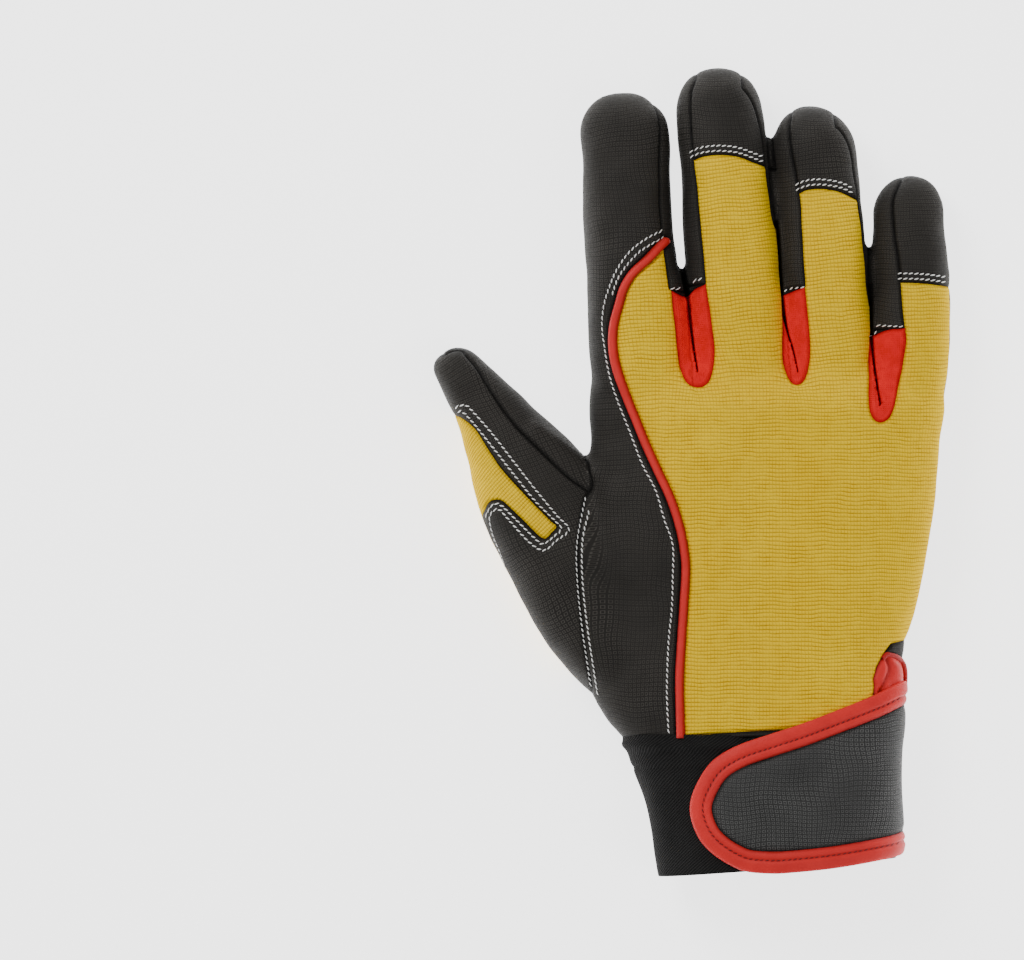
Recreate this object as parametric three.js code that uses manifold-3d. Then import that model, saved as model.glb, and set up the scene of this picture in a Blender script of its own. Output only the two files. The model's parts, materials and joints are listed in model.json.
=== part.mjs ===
// Leather and knit glove for the right hand, lying palm down.
// Millimetres. +X is the little-finger side, +Y the fingertips, +Z the back of the hand.
import * as THREE from 'three';
import { mergeVertices } from 'three/addons/utils/BufferGeometryUtils.js';
import Module from 'manifold-3d';

// Driving sizes
const palm_width = 105;
const palm_length = 113;
const palm_height = 34;
const finger_length = 100;
const finger_width = 27;
const finger_height = 28;
const thumb_length = 113;
const thumb_width = 37;
const thumb_height = 28;
const cuff_length = 43;
const cuff_width = 76;
const cuff_height = 38;

// Material thicknesses and trim
const leather_wall = 1.6;
const cuff_wall = 1.8;
const strap_thickness = 1.8;
const binding_thickness = 2.6;
const piping_rise = 1.0;
const vent_rise = 1.0;
const web_slit = 0.9;

// Clearances, and how far cutters and hollows run past the ends of the forms
const seam_gap = 0.3;
const strap_gap = 0.35;
const cut_reach = 4;

// Where each panel ends above the resting plane, as shares of the height of its form
const back_low_edge = 0.44;
const cap_low_edge = 0.36;
const strip_high_edge = 0.66;
const strip_low_edge = 0.26;
const thumb_side_edge = 0.42;
const strap_low_edge = 0.3;

// Roundness of the sections and the number of points round each
const round_power = 2.4;
const palm_points = 22;
const finger_points = 14;
const thumb_points = 16;
const cuff_points = 22;

// Palm shares run along the palm's length up to this one, and along the fingers beyond it
const root_line = 0.398;
const share_along_fingers = 1.13;

// Root and size of each finger.
// root_x and root_y are shares of the palm, length and width are shares of the finger sizes, lean in degrees.
const fingers = {
  index: { root_x: -0.352, root_y: 0.398, lean: 2.9, length: 1.0, width: 1.0, height: 0.98 },
  middle: { root_x: -0.033, root_y: 0.398, lean: 5.4, length: 1.078, width: 1.0, height: 1.0 },
  ring: { root_x: 0.229, root_y: 0.398, lean: 5.2, length: 0.963, width: 0.96, height: 0.97 },
  little: { root_x: 0.45, root_y: 0.336, lean: 1.4, length: 0.81, width: 0.85, height: 0.86 },
};

// Outline of each finger.
// Columns: share of its length from the root, left and right edges as shares of its width.
const finger_outlines = {
  index: [
    [0.0, -0.4, 0.6], [0.2, -0.535, 0.66], [0.37, -0.523, 0.6], [0.46, -0.518, 0.505], [0.7, -0.515, 0.47],
    [0.87, -0.52, 0.47], [0.94, -0.45, 0.415], [0.98, -0.265, 0.29], [1.0, -0.07, 0.12],
  ],
  middle: [
    [0.0, -0.58, 0.66], [0.2, -0.57, 0.59], [0.37, -0.562, 0.525], [0.5, -0.545, 0.52], [0.7, -0.505, 0.495],
    [0.87, -0.48, 0.47], [0.94, -0.45, 0.385], [0.98, -0.32, 0.235], [1.0, -0.12, 0.08],
  ],
  ring: [
    [0.0, -0.52, 0.52], [0.2, -0.54, 0.51], [0.4, -0.52, 0.51], [0.66, -0.475, 0.51], [0.8, -0.485, 0.5],
    [0.885, -0.475, 0.455], [0.945, -0.405, 0.325], [0.98, -0.27, 0.17], [1.0, -0.1, 0.02],
  ],
  little: [
    [0.0, -0.5, 0.28], [0.18, -0.52, 0.45], [0.36, -0.535, 0.555], [0.45, -0.52, 0.56], [0.58, -0.465, 0.54],
    [0.88, -0.455, 0.505], [0.945, -0.375, 0.425], [0.98, -0.24, 0.25], [1.0, -0.08, 0.06],
  ],
};

// Underside and top along every finger, as shares of its height
const finger_profile = [
  [0.0, -0.12, 1.02], [0.3, -0.12, 1.04], [0.5, -0.11, 1.0], [0.7, -0.1, 0.92], [0.86, -0.09, 0.82],
  [0.93, -0.06, 0.73], [0.965, 0.0, 0.65], [0.987, 0.08, 0.56], [1.0, 0.2, 0.45],
];

// Palm from the wrist seam to the finger roots.
// Columns: share of its length, left and right edges as shares of its width, underside and top of its height.
const palm_outline = [
  [-0.483, -0.408, 0.405, -0.12, 1.07], [-0.4, -0.474, 0.408, -0.12, 1.05],
  [-0.327, -0.502, 0.413, -0.12, 1.03], [-0.137, -0.53, 0.456, -0.12, 1.0],
  [0.02, -0.535, 0.486, -0.12, 1.0], [0.2, -0.512, 0.52, -0.12, 1.0],
  [0.44, -0.497, 0.54, -0.12, 0.95], [0.5, -0.485, 0.535, -0.1, 0.84], [0.54, -0.46, 0.52, -0.04, 0.7],
];

// Thumb from its root inside the palm to the tip.
// Columns: share of its length, left and right edges of its width, underside and top of its height.
const thumb_frame = { root_x: -0.438, root_y: -0.319, lean: 25.2 };
const thumb_outline = [
  [-0.03, -0.19, 0.45, -0.1, 1.0], [0.03, -0.255, 0.5, -0.12, 1.04], [0.13, -0.34, 0.55, -0.12, 1.05],
  [0.3, -0.398, 0.58, -0.12, 1.04], [0.5, -0.41, 0.585, -0.12, 0.97], [0.6, -0.38, 0.555, -0.12, 0.9],
  [0.68, -0.32, 0.475, -0.11, 0.85], [0.77, -0.268, 0.345, -0.1, 0.78], [0.87, -0.255, 0.21, -0.1, 0.68],
  [0.95, -0.245, 0.12, -0.06, 0.58], [0.985, -0.19, 0.06, 0.02, 0.48], [1.0, -0.1, -0.02, 0.12, 0.38],
];

// Cuff below the wrist seam, where it is as wide and high as the palm, down to the mouth.
// Columns: share of its length below the seam, left and right edges of its width, underside and top of its
// height, and how far its plane drops at the left edge.
const cuff_outline = [
  [0.2, -0.523, 0.546, -0.12, 0.98, 0.0],
  [0.4, -0.478, 0.546, -0.12, 1.0, 0.03], [0.6, -0.446, 0.55, -0.12, 1.02, 0.07],
  [0.8, -0.421, 0.552, -0.12, 1.03, 0.12], [0.865, -0.4, 0.54, -0.1, 1.01, 0.14],
];

// Slits between the fingers, from the web up to the open gap, as shares of the palm
const slits = {
  index_middle: [
    [-0.185, 0.514], [-0.197, 0.588], [-0.206, 0.656], [-0.213, 0.72], [-0.226, 0.79], [-0.238, 0.86],
    [-0.247, 1.01], [-0.253, 1.165], [-0.26, 1.45],
  ],
  middle_ring: [
    [0.109, 0.514], [0.097, 0.569], [0.079, 0.629], [0.068, 0.697], [0.06, 0.78], [0.053, 0.89],
    [0.035, 1.01], [0.02, 1.165], [0.01, 1.45],
  ],
  ring_little: [
    [0.35, 0.416], [0.341, 0.479], [0.333, 0.547], [0.327, 0.615], [0.328, 0.72], [0.324, 0.8],
    [0.32, 0.95], [0.312, 1.05], [0.3, 1.3],
  ],
};

// Red gussets on the back, as shares of the palm, and how far each reaches past its slit underneath
const gusset_outlines = {
  index_middle: [
    [-0.259, 0.736], [-0.25, 0.66], [-0.236, 0.54], [-0.22, 0.487], [-0.191, 0.473], [-0.163, 0.48],
    [-0.146, 0.51], [-0.141, 0.57], [-0.148, 0.66], [-0.165, 0.745],
  ],
  middle_ring: [
    [0.065, 0.722], [0.07, 0.62], [0.073, 0.533], [0.083, 0.498], [0.1, 0.481], [0.121, 0.487],
    [0.135, 0.514], [0.141, 0.59], [0.136, 0.67], [0.127, 0.744],
  ],
  ring_little: [
    [0.323, 0.62], [0.32, 0.52], [0.316, 0.43], [0.329, 0.388], [0.353, 0.375], [0.378, 0.388],
    [0.394, 0.43], [0.412, 0.51], [0.427, 0.596], [0.424, 0.632],
  ],
};
const gusset_under_reach = 2.8;

// Centre line of the red piping, as shares of the palm, and its half width
const piping_line = [
  [-0.282, 0.86], [-0.331, 0.82], [-0.375, 0.782], [-0.414, 0.706], [-0.435, 0.629], [-0.432, 0.552],
  [-0.406, 0.476], [-0.375, 0.399], [-0.343, 0.323], [-0.305, 0.246], [-0.267, 0.17], [-0.24, 0.093],
  [-0.222, -0.022], [-0.231, -0.175], [-0.24, -0.328], [-0.238, -0.443], [-0.236, -0.52],
];
const piping_half_width = 1.6;

// Seams of the finger backs.
// Columns: share of the finger's length, share of its width. They run from the root to the tip.
const cap_seams = {
  middle: {
    left: [[0.37, -0.368], [0.5, -0.373], [0.612, -0.368], [0.735, -0.375]],
    edge: [[0.738, -0.374], [0.746, -0.222], [0.745, -0.05], [0.734, 0.176], [0.713, 0.341], [0.68, 0.6]],
    left_tip: [[0.856, -0.353], [0.93, -0.325], [0.975, -0.25], [1.03, -0.17]],
    right_tip: [[1.03, 0.26], [0.97, 0.3], [0.93, 0.37], [0.86, 0.6]],
  },
  ring: {
    left: [[0.4, -0.265], [0.552, -0.25], [0.648, -0.243], [0.713, -0.243]],
    edge: [[0.716, -0.242], [0.724, -0.06], [0.72, 0.129], [0.702, 0.326], [0.64, 0.62]],
    left_tip: [[0.859, -0.273], [0.93, -0.275], [0.975, -0.23], [1.03, -0.17]],
    right_tip: [[1.03, 0.16], [0.97, 0.28], [0.92, 0.38], [0.86, 0.6]],
  },
  little: {
    left: [[0.4, -0.082], [0.485, -0.112], [0.583, -0.134]],
    edge: [[0.589, -0.134], [0.582, 0.215], [0.56, 0.7]],
    left_tip: [[0.68, -0.155], [0.772, -0.195], [0.887, -0.21], [0.95, -0.14], [1.03, 0.04]],
    right_tip: [[1.03, 0.45], [0.9, 0.7]],
  },
};
const right_strip_seam = [[0.3, 0.3], [0.86, 0.3], [0.97, 0.28], [1.06, 0.25]];
const index_strip_seam = [
  [0.36, 0.41], [0.441, 0.395], [0.497, 0.37], [0.596, 0.35], [0.813, 0.377], [0.9, 0.385], [0.955, 0.34],
  [0.985, 0.3], [1.03, 0.26],
];

// Lower edge of the yellow back panel and the bound vent beside it, as shares of the palm
const back_wrist_corner = [
  [0.7, 0.45], [0.7, -0.21], [0.43, -0.219], [0.385, -0.228], [0.366, -0.25], [0.341, -0.29],
  [0.333, -0.328], [0.338, -0.38], [0.35, -0.43], [0.35, -0.6], [-0.236, -0.6],
];
const vent_outline = [
  [0.365, -0.26], [0.383, -0.254], [0.406, -0.26], [0.421, -0.275], [0.47, -0.285], [0.47, -0.36],
  [0.34, -0.36], [0.335, -0.317], [0.346, -0.286],
];
const vent_low_edge = 0.4;

// Thumb seams. Columns: share of the thumb's length, share of its width.
const thumb_ridge = [
  [1.05, 0.0], [0.965, 0.045], [0.92, 0.08], [0.826, 0.115], [0.728, 0.175], [0.637, 0.275], [0.544, 0.39],
  [0.47, 0.52],
];
const thumb_under_seam = [
  [1.05, -0.12], [0.837, -0.121], [0.699, -0.069], [0.526, 0.052], [0.32, 0.153], [0.121, 0.265],
  [-0.048, 0.363], [-0.22, 0.43],
];
const insert_on_back = [
  [0.823, -0.243], [0.754, -0.129], [0.587, -0.027], [0.44, 0.103], [0.426, -0.045], [0.523, -0.165],
  [0.572, -0.243], [0.573, -0.333], [0.552, -0.6], [0.83, -0.6],
];
const insert_underneath = [
  [0.73, -0.255], [0.62, -0.255], [0.513, -0.24], [0.4, -0.235], [0.291, -0.211], [0.16, -0.17],
  [0.06, -0.15], [0.045, -0.2], [0.1, -0.33], [0.2, -0.6], [0.73, -0.6],
];

// Where the palm leather ends and the leather of each finger starts, as shares of the palm
const finger_root_edge = { index: 0.5, middle: 0.5, ring: 0.5, little: 0.405 };

// Edge of the thumb panels, as shares of the palm: on the back of the hand and on the palm side
const thumb_back_edge = [
  [-0.9, 0.8], [-0.6, 0.42], [-0.53, 0.3], [-0.499, 0.25], [-0.496, 0.2], [-0.515, 0.16],
  [-0.539, 0.052], [-0.539, -0.052], [-0.524, -0.186], [-0.494, -0.366], [-0.48, -0.45],
];
const thumb_palm_edge = [
  [-0.9, 0.8], [-0.6, 0.42], [-0.53, 0.3], [-0.499, 0.25], [-0.47, 0.232], [-0.418, 0.21],
  [-0.386, 0.17], [-0.353, 0.1], [-0.32, 0.02], [-0.27, -0.07], [-0.213, -0.145], [-0.165, -0.21],
  [-0.137, -0.28], [-0.16, -0.345], [-0.2, -0.395], [-0.25, -0.425], [-0.315, -0.435], [-0.39, -0.425],
  [-0.46, -0.41],
];
const thumb_far_corners = [[-2, -0.45], [-2, 0.8]];
const saddle_edge = [
  [-0.4, 0.205], [-0.353, 0.213], [-0.283, 0.185], [-0.218, 0.118], [-0.165, 0.04], [-0.13, -0.044],
  [-0.112, -0.126], [-0.11, -0.2], [-0.137, -0.26], [-0.165, -0.21], [-0.213, -0.145], [-0.27, -0.07],
  [-0.32, 0.02], [-0.353, 0.1], [-0.386, 0.17],
];

// Strap outline. Columns: share of the cuff's width from the glove's middle, share of its length below the
// wrist seam.
const strap_outline = [
  [0.8, -0.48], [0.594, -0.407], [0.447, -0.3], [0.285, -0.192], [0.041, -0.041], [-0.081, 0.031],
  [-0.163, 0.103], [-0.216, 0.182], [-0.256, 0.29], [-0.285, 0.412], [-0.289, 0.52], [-0.276, 0.627],
  [-0.244, 0.735], [-0.191, 0.828], [-0.126, 0.9], [-0.061, 0.944], [0.041, 0.958], [0.122, 0.951],
  [0.285, 0.923], [0.447, 0.879], [0.557, 0.844], [0.59, 0.77], [0.8, 0.72],
];
const binding_width = 6.8;

// Helpers for the solids
const wasm = await Module();
wasm.setup();

const share_between = (a, b, t) => a + (b - a) * t;

function read_table(table, along, column) {
  if (along <= table[0][0]) return table[0][column];
  for (let i = 1; i < table.length; i += 1) {
    if (along <= table[i][0]) {
      const t = (along - table[i - 1][0]) / (table[i][0] - table[i - 1][0]);
      return share_between(table[i - 1][column], table[i][column], t);
    }
  }
  return table[table.length - 1][column];
}

function to_manifold(geometry) {
  geometry.deleteAttribute('normal');
  geometry.deleteAttribute('uv');
  const merged = mergeVertices(geometry, 1e-4);
  return new wasm.Manifold(new wasm.Mesh({
    numProp: 3,
    vertProperties: new Float32Array(merged.attributes.position.array),
    triVerts: new Uint32Array(merged.index.array),
  }));
}

// One flattened oval: half sizes shrink by the inset, and nothing goes below the floor
function oval(left, right, base, top, inset, count) {
  const middle = (left + right) / 2;
  const half = (right - left) / 2 - inset;
  const rise = (base + top) / 2;
  const tall = (top - base) / 2 - inset;
  const floor = Math.max(inset, 0);
  const points = [];
  for (let i = 0; i < count; i += 1) {
    const angle = (2 * Math.PI * i) / count;
    const c = Math.cos(angle);
    const s = Math.sin(angle);
    const across = middle + half * Math.sign(c) * Math.abs(c) ** (2 / round_power);
    const up = rise + tall * Math.sign(s) * Math.abs(s) ** (2 / round_power);
    points.push([across, Math.max(up, floor)]);
  }
  return points;
}

// Closed loft through rings of equal count, each ring an array of [x, y, z]
function loft(rings) {
  const count = rings[0].length;
  const positions = rings.flat(2);
  const triangles = [];
  for (let j = 0; j + 1 < rings.length; j += 1) {
    for (let i = 0; i < count; i += 1) {
      const a = j * count + i;
      const b = j * count + ((i + 1) % count);
      triangles.push(a, b, a + count, b, b + count, a + count);
    }
  }
  const ends = [[0, true], [rings.length - 1, false]];
  for (const [j, first] of ends) {
    const centre = [0, 1, 2].map((k) => rings[j].reduce((sum, p) => sum + p[k], 0) / count);
    const hub = positions.length / 3;
    positions.push(...centre);
    for (let i = 0; i < count; i += 1) {
      const a = j * count + i;
      const b = j * count + ((i + 1) % count);
      if (first) triangles.push(hub, b, a);
      else triangles.push(hub, a, b);
    }
  }
  const geometry = new THREE.BufferGeometry();
  geometry.setAttribute('position', new THREE.Float32BufferAttribute(positions, 3));
  geometry.setIndex(triangles);
  return to_manifold(geometry);
}

// Frames: palm shares to millimetres, and a digit's own shares to millimetres
function palm_point([u, v]) {
  const on_palm = Math.min(v, root_line) * palm_length;
  const on_fingers = Math.max(v - root_line, 0) * share_along_fingers * finger_length;
  return [u * palm_width, on_palm + on_fingers];
}

function digit_frame(root, length, width) {
  const lean = THREE.MathUtils.degToRad(root.lean);
  const [x, y] = palm_point([root.root_x, root.root_y]);
  return ([along, across]) => [
    x - Math.sin(lean) * along * length + Math.cos(lean) * across * width,
    y + Math.cos(lean) * along * length + Math.sin(lean) * across * width,
  ];
}

const finger_point = {};
for (const name of Object.keys(fingers)) {
  const { length, width } = fingers[name];
  finger_point[name] = digit_frame(fingers[name], finger_length * length, finger_width * width);
}
const thumb_point = digit_frame(thumb_frame, thumb_length, thumb_width);
const wrist_y = palm_outline[0][0] * palm_length;
const cuff_top_y = wrist_y - seam_gap;
const cuff_point = ([u, v]) => [u * cuff_width, cuff_top_y - v * cuff_length];

// The soft forms, each drawn again smaller for its hollow or larger for what lies on it
function finger_form(name, inset) {
  const length = finger_length * fingers[name].length;
  const width = finger_width * fingers[name].width;
  const height = finger_height * fingers[name].height;
  const shorter = (length - inset) / length;
  const rings = finger_outlines[name].map(([along, left, right]) => {
    const base = read_table(finger_profile, along, 1) * height;
    const top = read_table(finger_profile, along, 2) * height;
    const ring = oval(left * width, right * width, base, top, inset, finger_points);
    return ring.map(([across, up]) => {
      const [x, y] = finger_point[name]([along * shorter, across / width]);
      return [x, y, up];
    });
  });
  return loft(rings.reverse());
}

function thumb_form(inset) {
  const shorter = (thumb_length - inset) / thumb_length;
  const rings = thumb_outline.map(([along, left, right, base, top]) => {
    const ring = oval(
      left * thumb_width, right * thumb_width, base * thumb_height, top * thumb_height, inset, thumb_points,
    );
    return ring.map(([across, up]) => {
      const [x, y] = thumb_point([along * shorter, across / thumb_width]);
      return [x, y, up];
    });
  });
  return loft(rings.reverse());
}

function palm_form(inset, past_wrist) {
  const rings = palm_outline.map(([along, left, right, base, top], row) => {
    const drop = row === 0 ? past_wrist : 0;
    const ring = oval(
      left * palm_width, right * palm_width, base * palm_height, top * palm_height, inset, palm_points,
    );
    const [, y] = palm_point([0, along]);
    return ring.map(([x, z]) => [x, y - drop, z]);
  });
  return loft(rings.reverse());
}

function cuff_form(inset, past_seam, past_mouth) {
  const [, wrist_left, wrist_right, wrist_base, wrist_top] = palm_outline[0];
  const wider = palm_width / cuff_width;
  const higher = palm_height / cuff_height;
  const at_seam = [0, wrist_left * wider, wrist_right * wider, wrist_base * higher, wrist_top * higher, 0];
  const rows = [at_seam, ...cuff_outline];
  const rings = rows.map(([along, left, right, base, top, drop], row) => {
    const shift = (row === 0 ? past_seam : 0) - (row === rows.length - 1 ? past_mouth : 0);
    const ring = oval(
      left * cuff_width, right * cuff_width, base * cuff_height, top * cuff_height, inset, cuff_points,
    );
    return ring.map(([x, z]) => {
      const y = cuff_top_y - (along + drop * (0.5 - x / cuff_width)) * cuff_length;
      return [x, y + shift, z];
    });
  });
  return loft(rings);
}

// Upright prism over an outline in the resting plane, between two heights
function prism(outline, low, high) {
  const shape = new THREE.Shape(outline.map(([x, y]) => new THREE.Vector2(x, y)));
  const geometry = new THREE.ExtrudeGeometry(shape, { depth: high - low, bevelEnabled: false, steps: 1 });
  geometry.translate(0, 0, low);
  return to_manifold(geometry);
}

// Outline moved outwards by a small amount, or inwards when the amount is negative
function grown(outline, amount) {
  const count = outline.length;
  let area = 0;
  for (let i = 0; i < count; i += 1) {
    const [x0, y0] = outline[i];
    const [x1, y1] = outline[(i + 1) % count];
    area += x0 * y1 - x1 * y0;
  }
  const turn = Math.sign(area);
  return outline.map(([x, y], i) => {
    const before = outline[(i + count - 1) % count];
    const after = outline[(i + 1) % count];
    const a = new THREE.Vector2(x - before[0], y - before[1]).normalize();
    const b = new THREE.Vector2(after[0] - x, after[1] - y).normalize();
    const normal = new THREE.Vector2(a.y + b.y, -a.x - b.x).normalize();
    const stretch = 1 / Math.max(0.5, normal.dot(new THREE.Vector2(a.y, -a.x)));
    return [x + normal.x * turn * amount * stretch, y + normal.y * turn * amount * stretch];
  });
}

// Band of a given half width on both sides of a line, with a rounded start where asked
function band(line, half_width, rounded_start) {
  const left = [];
  const right = [];
  line.forEach(([x, y], i) => {
    const before = line[Math.max(i - 1, 0)];
    const after = line[Math.min(i + 1, line.length - 1)];
    const way = new THREE.Vector2(after[0] - before[0], after[1] - before[1]).normalize();
    left.push([x - way.y * half_width, y + way.x * half_width]);
    right.push([x + way.y * half_width, y - way.x * half_width]);
  });
  const start = [];
  if (rounded_start) {
    const [x, y] = line[0];
    const way = new THREE.Vector2(line[1][0] - x, line[1][1] - y).normalize();
    for (const angle of [-45, 0, 45]) {
      const back = way.clone().rotateAround(new THREE.Vector2(), THREE.MathUtils.degToRad(180 + angle));
      start.push([x + back.x * half_width, y + back.y * half_width]);
    }
  }
  return [...start, ...right, ...left.reverse()];
}

// How far the cutters reach up, down and to the sides
const all_high = 3 * palm_height;
const below = -cut_reach;
const far_side = 3 * palm_width;
const far_end = 4 * palm_length;
const mid_palm = back_low_edge * palm_height;
const mid_thumb = thumb_side_edge * thumb_height;

// A cutter is a function of the amount by which it is grown
const over = (outline, low, high) => (extra) => (
  prism(grown(outline, extra), low - extra, high + extra)
);
const either = (a, b) => (extra) => a(extra).add(b(extra));
const both = (a, b) => (extra) => a(extra).intersect(b(extra));

const pieces = new THREE.Group();
pieces.name = 'mechanic_glove';

const looks = {
  black_leather: { color: 0x2b2a28, roughness: 0.62, metalness: 0.0 },
  yellow_knit: { color: 0xf6c410, roughness: 0.85, metalness: 0.0 },
  red_leather: { color: 0xd9403a, roughness: 0.5, metalness: 0.0 },
  red_cloth: { color: 0xe0191d, roughness: 0.9, metalness: 0.0 },
  black_knit: { color: 0x232323, roughness: 0.92, metalness: 0.0 },
};

function add_piece(name, look, solid) {
  const mesh = solid.getMesh();
  const geometry = new THREE.BufferGeometry();
  geometry.setAttribute('position', new THREE.Float32BufferAttribute(mesh.vertProperties, 3));
  geometry.setIndex(new THREE.Uint32BufferAttribute(mesh.triVerts, 1));
  const node = new THREE.Mesh(geometry, new THREE.MeshStandardMaterial(looks[look]));
  node.name = name;
  pieces.add(node);
}

// Outer form of the hand and its hollow
const slit_lines = {};
for (const name of Object.keys(slits)) slit_lines[name] = slits[name].map(palm_point);

function hand_form(inset, past_wrist) {
  let form = palm_form(inset, past_wrist).add(thumb_form(inset));
  for (const name of Object.keys(fingers)) form = form.add(finger_form(name, inset));
  for (const name of Object.keys(slits)) {
    const slit = band(slit_lines[name], web_slit / 2 + Math.max(inset, 0), true);
    form = form.subtract(prism(slit, below, all_high));
  }
  return form;
}

const hand_inner = hand_form(leather_wall, cut_reach);
let wall = hand_form(0, 0).subtract(hand_inner);

// Takes one panel out of what is left of the hand's wall, and leaves the seam gap round it
function take(name, look, cutter) {
  add_piece(name, look, wall.intersect(cutter(0)));
  wall = wall.subtract(cutter(seam_gap));
}

// Gussets between the fingers
for (const name of Object.keys(slits)) {
  const crest = palm_point(gusset_outlines[name][0])[1];
  const under = slit_lines[name].filter(([, y]) => y < crest);
  take(`${name}_gusset`, 'red_cloth', either(
    over(gusset_outlines[name].map(palm_point), mid_palm - 1, all_high),
    over(band(under, gusset_under_reach, true), below, mid_palm),
  ));
}

// Piping between leather and knit, a little proud of both
const beyond = (y) => [[-far_side, y], [far_side, y], [far_side, far_end], [-far_side, far_end]];
const above_wrist = prism(beyond(wrist_y), below, all_high);
const piping_area = over(band(piping_line.map(palm_point), piping_half_width, false), mid_palm, all_high);
const piping_wall = hand_form(-piping_rise, 0).subtract(hand_inner).intersect(above_wrist);
add_piece('back_piping', 'red_leather', piping_wall.intersect(piping_area(0)));
wall = wall.subtract(piping_area(seam_gap));

// Side strips below the knit on the little-finger side of the middle and ring fingers
const beside = { middle: 'middle_ring', ring: 'ring_little' };
for (const name of Object.keys(beside)) {
  const height = finger_height * fingers[name].height;
  const foot = palm_point(gusset_outlines[beside[name]][0])[1];
  const gap_line = slit_lines[beside[name]].filter(([, y]) => y > foot - cut_reach);
  const outline = [...gap_line, ...right_strip_seam.map(finger_point[name]).reverse()];
  take(`${name}_right_strip`, 'black_leather', both(
    over(outline, strip_low_edge * height, strip_high_edge * height),
    over(beyond(foot), below, all_high),
  ));
}

// Finger caps
for (const name of Object.keys(cap_seams)) {
  const seams = cap_seams[name];
  const outline = [...seams.edge, ...seams.right_tip.slice().reverse(), ...seams.left_tip.slice().reverse()];
  const low = cap_low_edge * finger_height * fingers[name].height;
  const own_form = finger_form(name, -seam_gap);
  const cap_area = over(outline.map(finger_point[name]), low, all_high);
  take(`${name}_cap`, 'black_leather', both(cap_area, () => own_form));
}

// Strip along one side of a finger, from its gusset's corner to the tip
function side_strip(node, name, slit, foot, seam) {
  const gap_line = slit_lines[slit].filter(([, y]) => y > foot[1] - 1);
  const seam_line = seam.map(finger_point[name]).filter(([, y]) => y > foot[1]);
  const low = strip_low_edge * finger_height * fingers[name].height;
  take(node, 'black_leather', over([foot, ...seam_line, ...gap_line.reverse()], low, all_high));
}

const before = { middle: 'index_middle', ring: 'middle_ring', little: 'ring_little' };
for (const [name, slit] of Object.entries(before)) {
  const foot = palm_point(gusset_outlines[slit].at(-1));
  side_strip(`${name}_left_strip`, name, slit, foot, [...cap_seams[name].left, ...cap_seams[name].left_tip]);
}
const index_foot = palm_point(gusset_outlines.index_middle[0]);
side_strip('index_side_strip', 'index', 'index_middle', index_foot, index_strip_seam);

// Bound vent beside the wrist
const strap_shape = strap_outline.map(cuff_point);
const vent_area = over(vent_outline.map(palm_point), vent_low_edge * palm_height, all_high);
const vent_wall = hand_form(-vent_rise, 0).subtract(hand_inner);
const under_strap = over(strap_shape, below, all_high);
add_piece('vent_binding', 'red_leather', vent_wall.intersect(vent_area(0)).subtract(under_strap(strap_gap)));
wall = wall.subtract(vent_area(seam_gap).subtract(under_strap(0)));

// Knit back
const open_line = (name, from, to) => slit_lines[name].filter(([, y]) => y > from && y < to);
const back_tongue = (name, gusset) => {
  const foot = palm_point(gusset_outlines[gusset].at(-1));
  const seam = cap_seams[name].left.map(finger_point[name]).filter(([, y]) => y > foot[1]);
  return [foot, ...seam, ...cap_seams[name].edge.slice(1).map(finger_point[name])];
};
const back_outline = [
  ...piping_line.map(palm_point).reverse(),
  ...index_strip_seam.slice(1, 3).map(finger_point.index).reverse(),
  palm_point(gusset_outlines.index_middle[0]),
  ...open_line('index_middle', 0, palm_point([0, 0.7])[1]).reverse(),
  ...back_tongue('middle', 'index_middle'),
  ...open_line('middle_ring', 0, palm_point([0, 1.02])[1]).reverse(),
  ...back_tongue('ring', 'middle_ring'),
  ...open_line('ring_little', 0, palm_point([0, 0.96])[1]).reverse(),
  ...back_tongue('little', 'ring_little'),
  ...back_wrist_corner.map(palm_point),
];
take('back_panel', 'yellow_knit', over(back_outline, mid_palm, all_high));

// Thumb: insert, saddle, then the outer and inner panels
const thumb_on_back = over([...thumb_back_edge, ...thumb_far_corners].map(palm_point), mid_thumb, all_high);
const thumb_underneath = over([...thumb_palm_edge, ...thumb_far_corners].map(palm_point), below, mid_thumb);
take('thumb_insert', 'yellow_knit', either(
  over(insert_on_back.map(thumb_point), mid_thumb, all_high),
  over(insert_underneath.map(thumb_point), below, mid_thumb),
));
take('thumb_saddle', 'black_leather', over(saddle_edge.map(palm_point), below, mid_thumb));
const outer_of_ridge = over(
  [...thumb_ridge, [0.4, 0.95], [-0.5, 0.95], [-0.5, -1], [1.1, -1]].map(thumb_point), mid_thumb, all_high,
);
const outer_of_under_seam = over(
  [...thumb_under_seam, [-0.6, 0.5], [-0.6, -1], [1.1, -1]].map(thumb_point), below, mid_thumb,
);
take('thumb_outer_panel', 'black_leather', either(
  both(thumb_on_back, outer_of_ridge),
  both(thumb_underneath, outer_of_under_seam),
));
take('thumb_inner_panel', 'black_leather', either(thumb_on_back, thumb_underneath));

// Leather of each finger, from one slit to the next
const finger_bounds = {
  index: [null, 'index_middle'],
  middle: ['index_middle', 'middle_ring'],
  ring: ['middle_ring', 'ring_little'],
  little: ['ring_little', null],
};
for (const [name, [left, right]] of Object.entries(finger_bounds)) {
  const [, root] = palm_point([0, finger_root_edge[name]]);
  const side = (slit, far) => {
    if (!slit) return [[far, root], [far, far_end]];
    const line = slit_lines[slit].filter(([, y]) => y > root);
    return [[line[0][0], root], ...line];
  };
  const outline = [...side(left, -far_side), ...side(right, far_side).reverse()];
  take(`${name}_leather`, 'black_leather', over(outline, below, all_high));
}

// What is left of the wall is the palm leather
add_piece('palm_leather', 'black_leather', wall);

// Cuff
const cuff = cuff_form(0, 0, 0).subtract(cuff_form(cuff_wall, cut_reach, cut_reach));
add_piece('cuff', 'black_knit', cuff);

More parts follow.
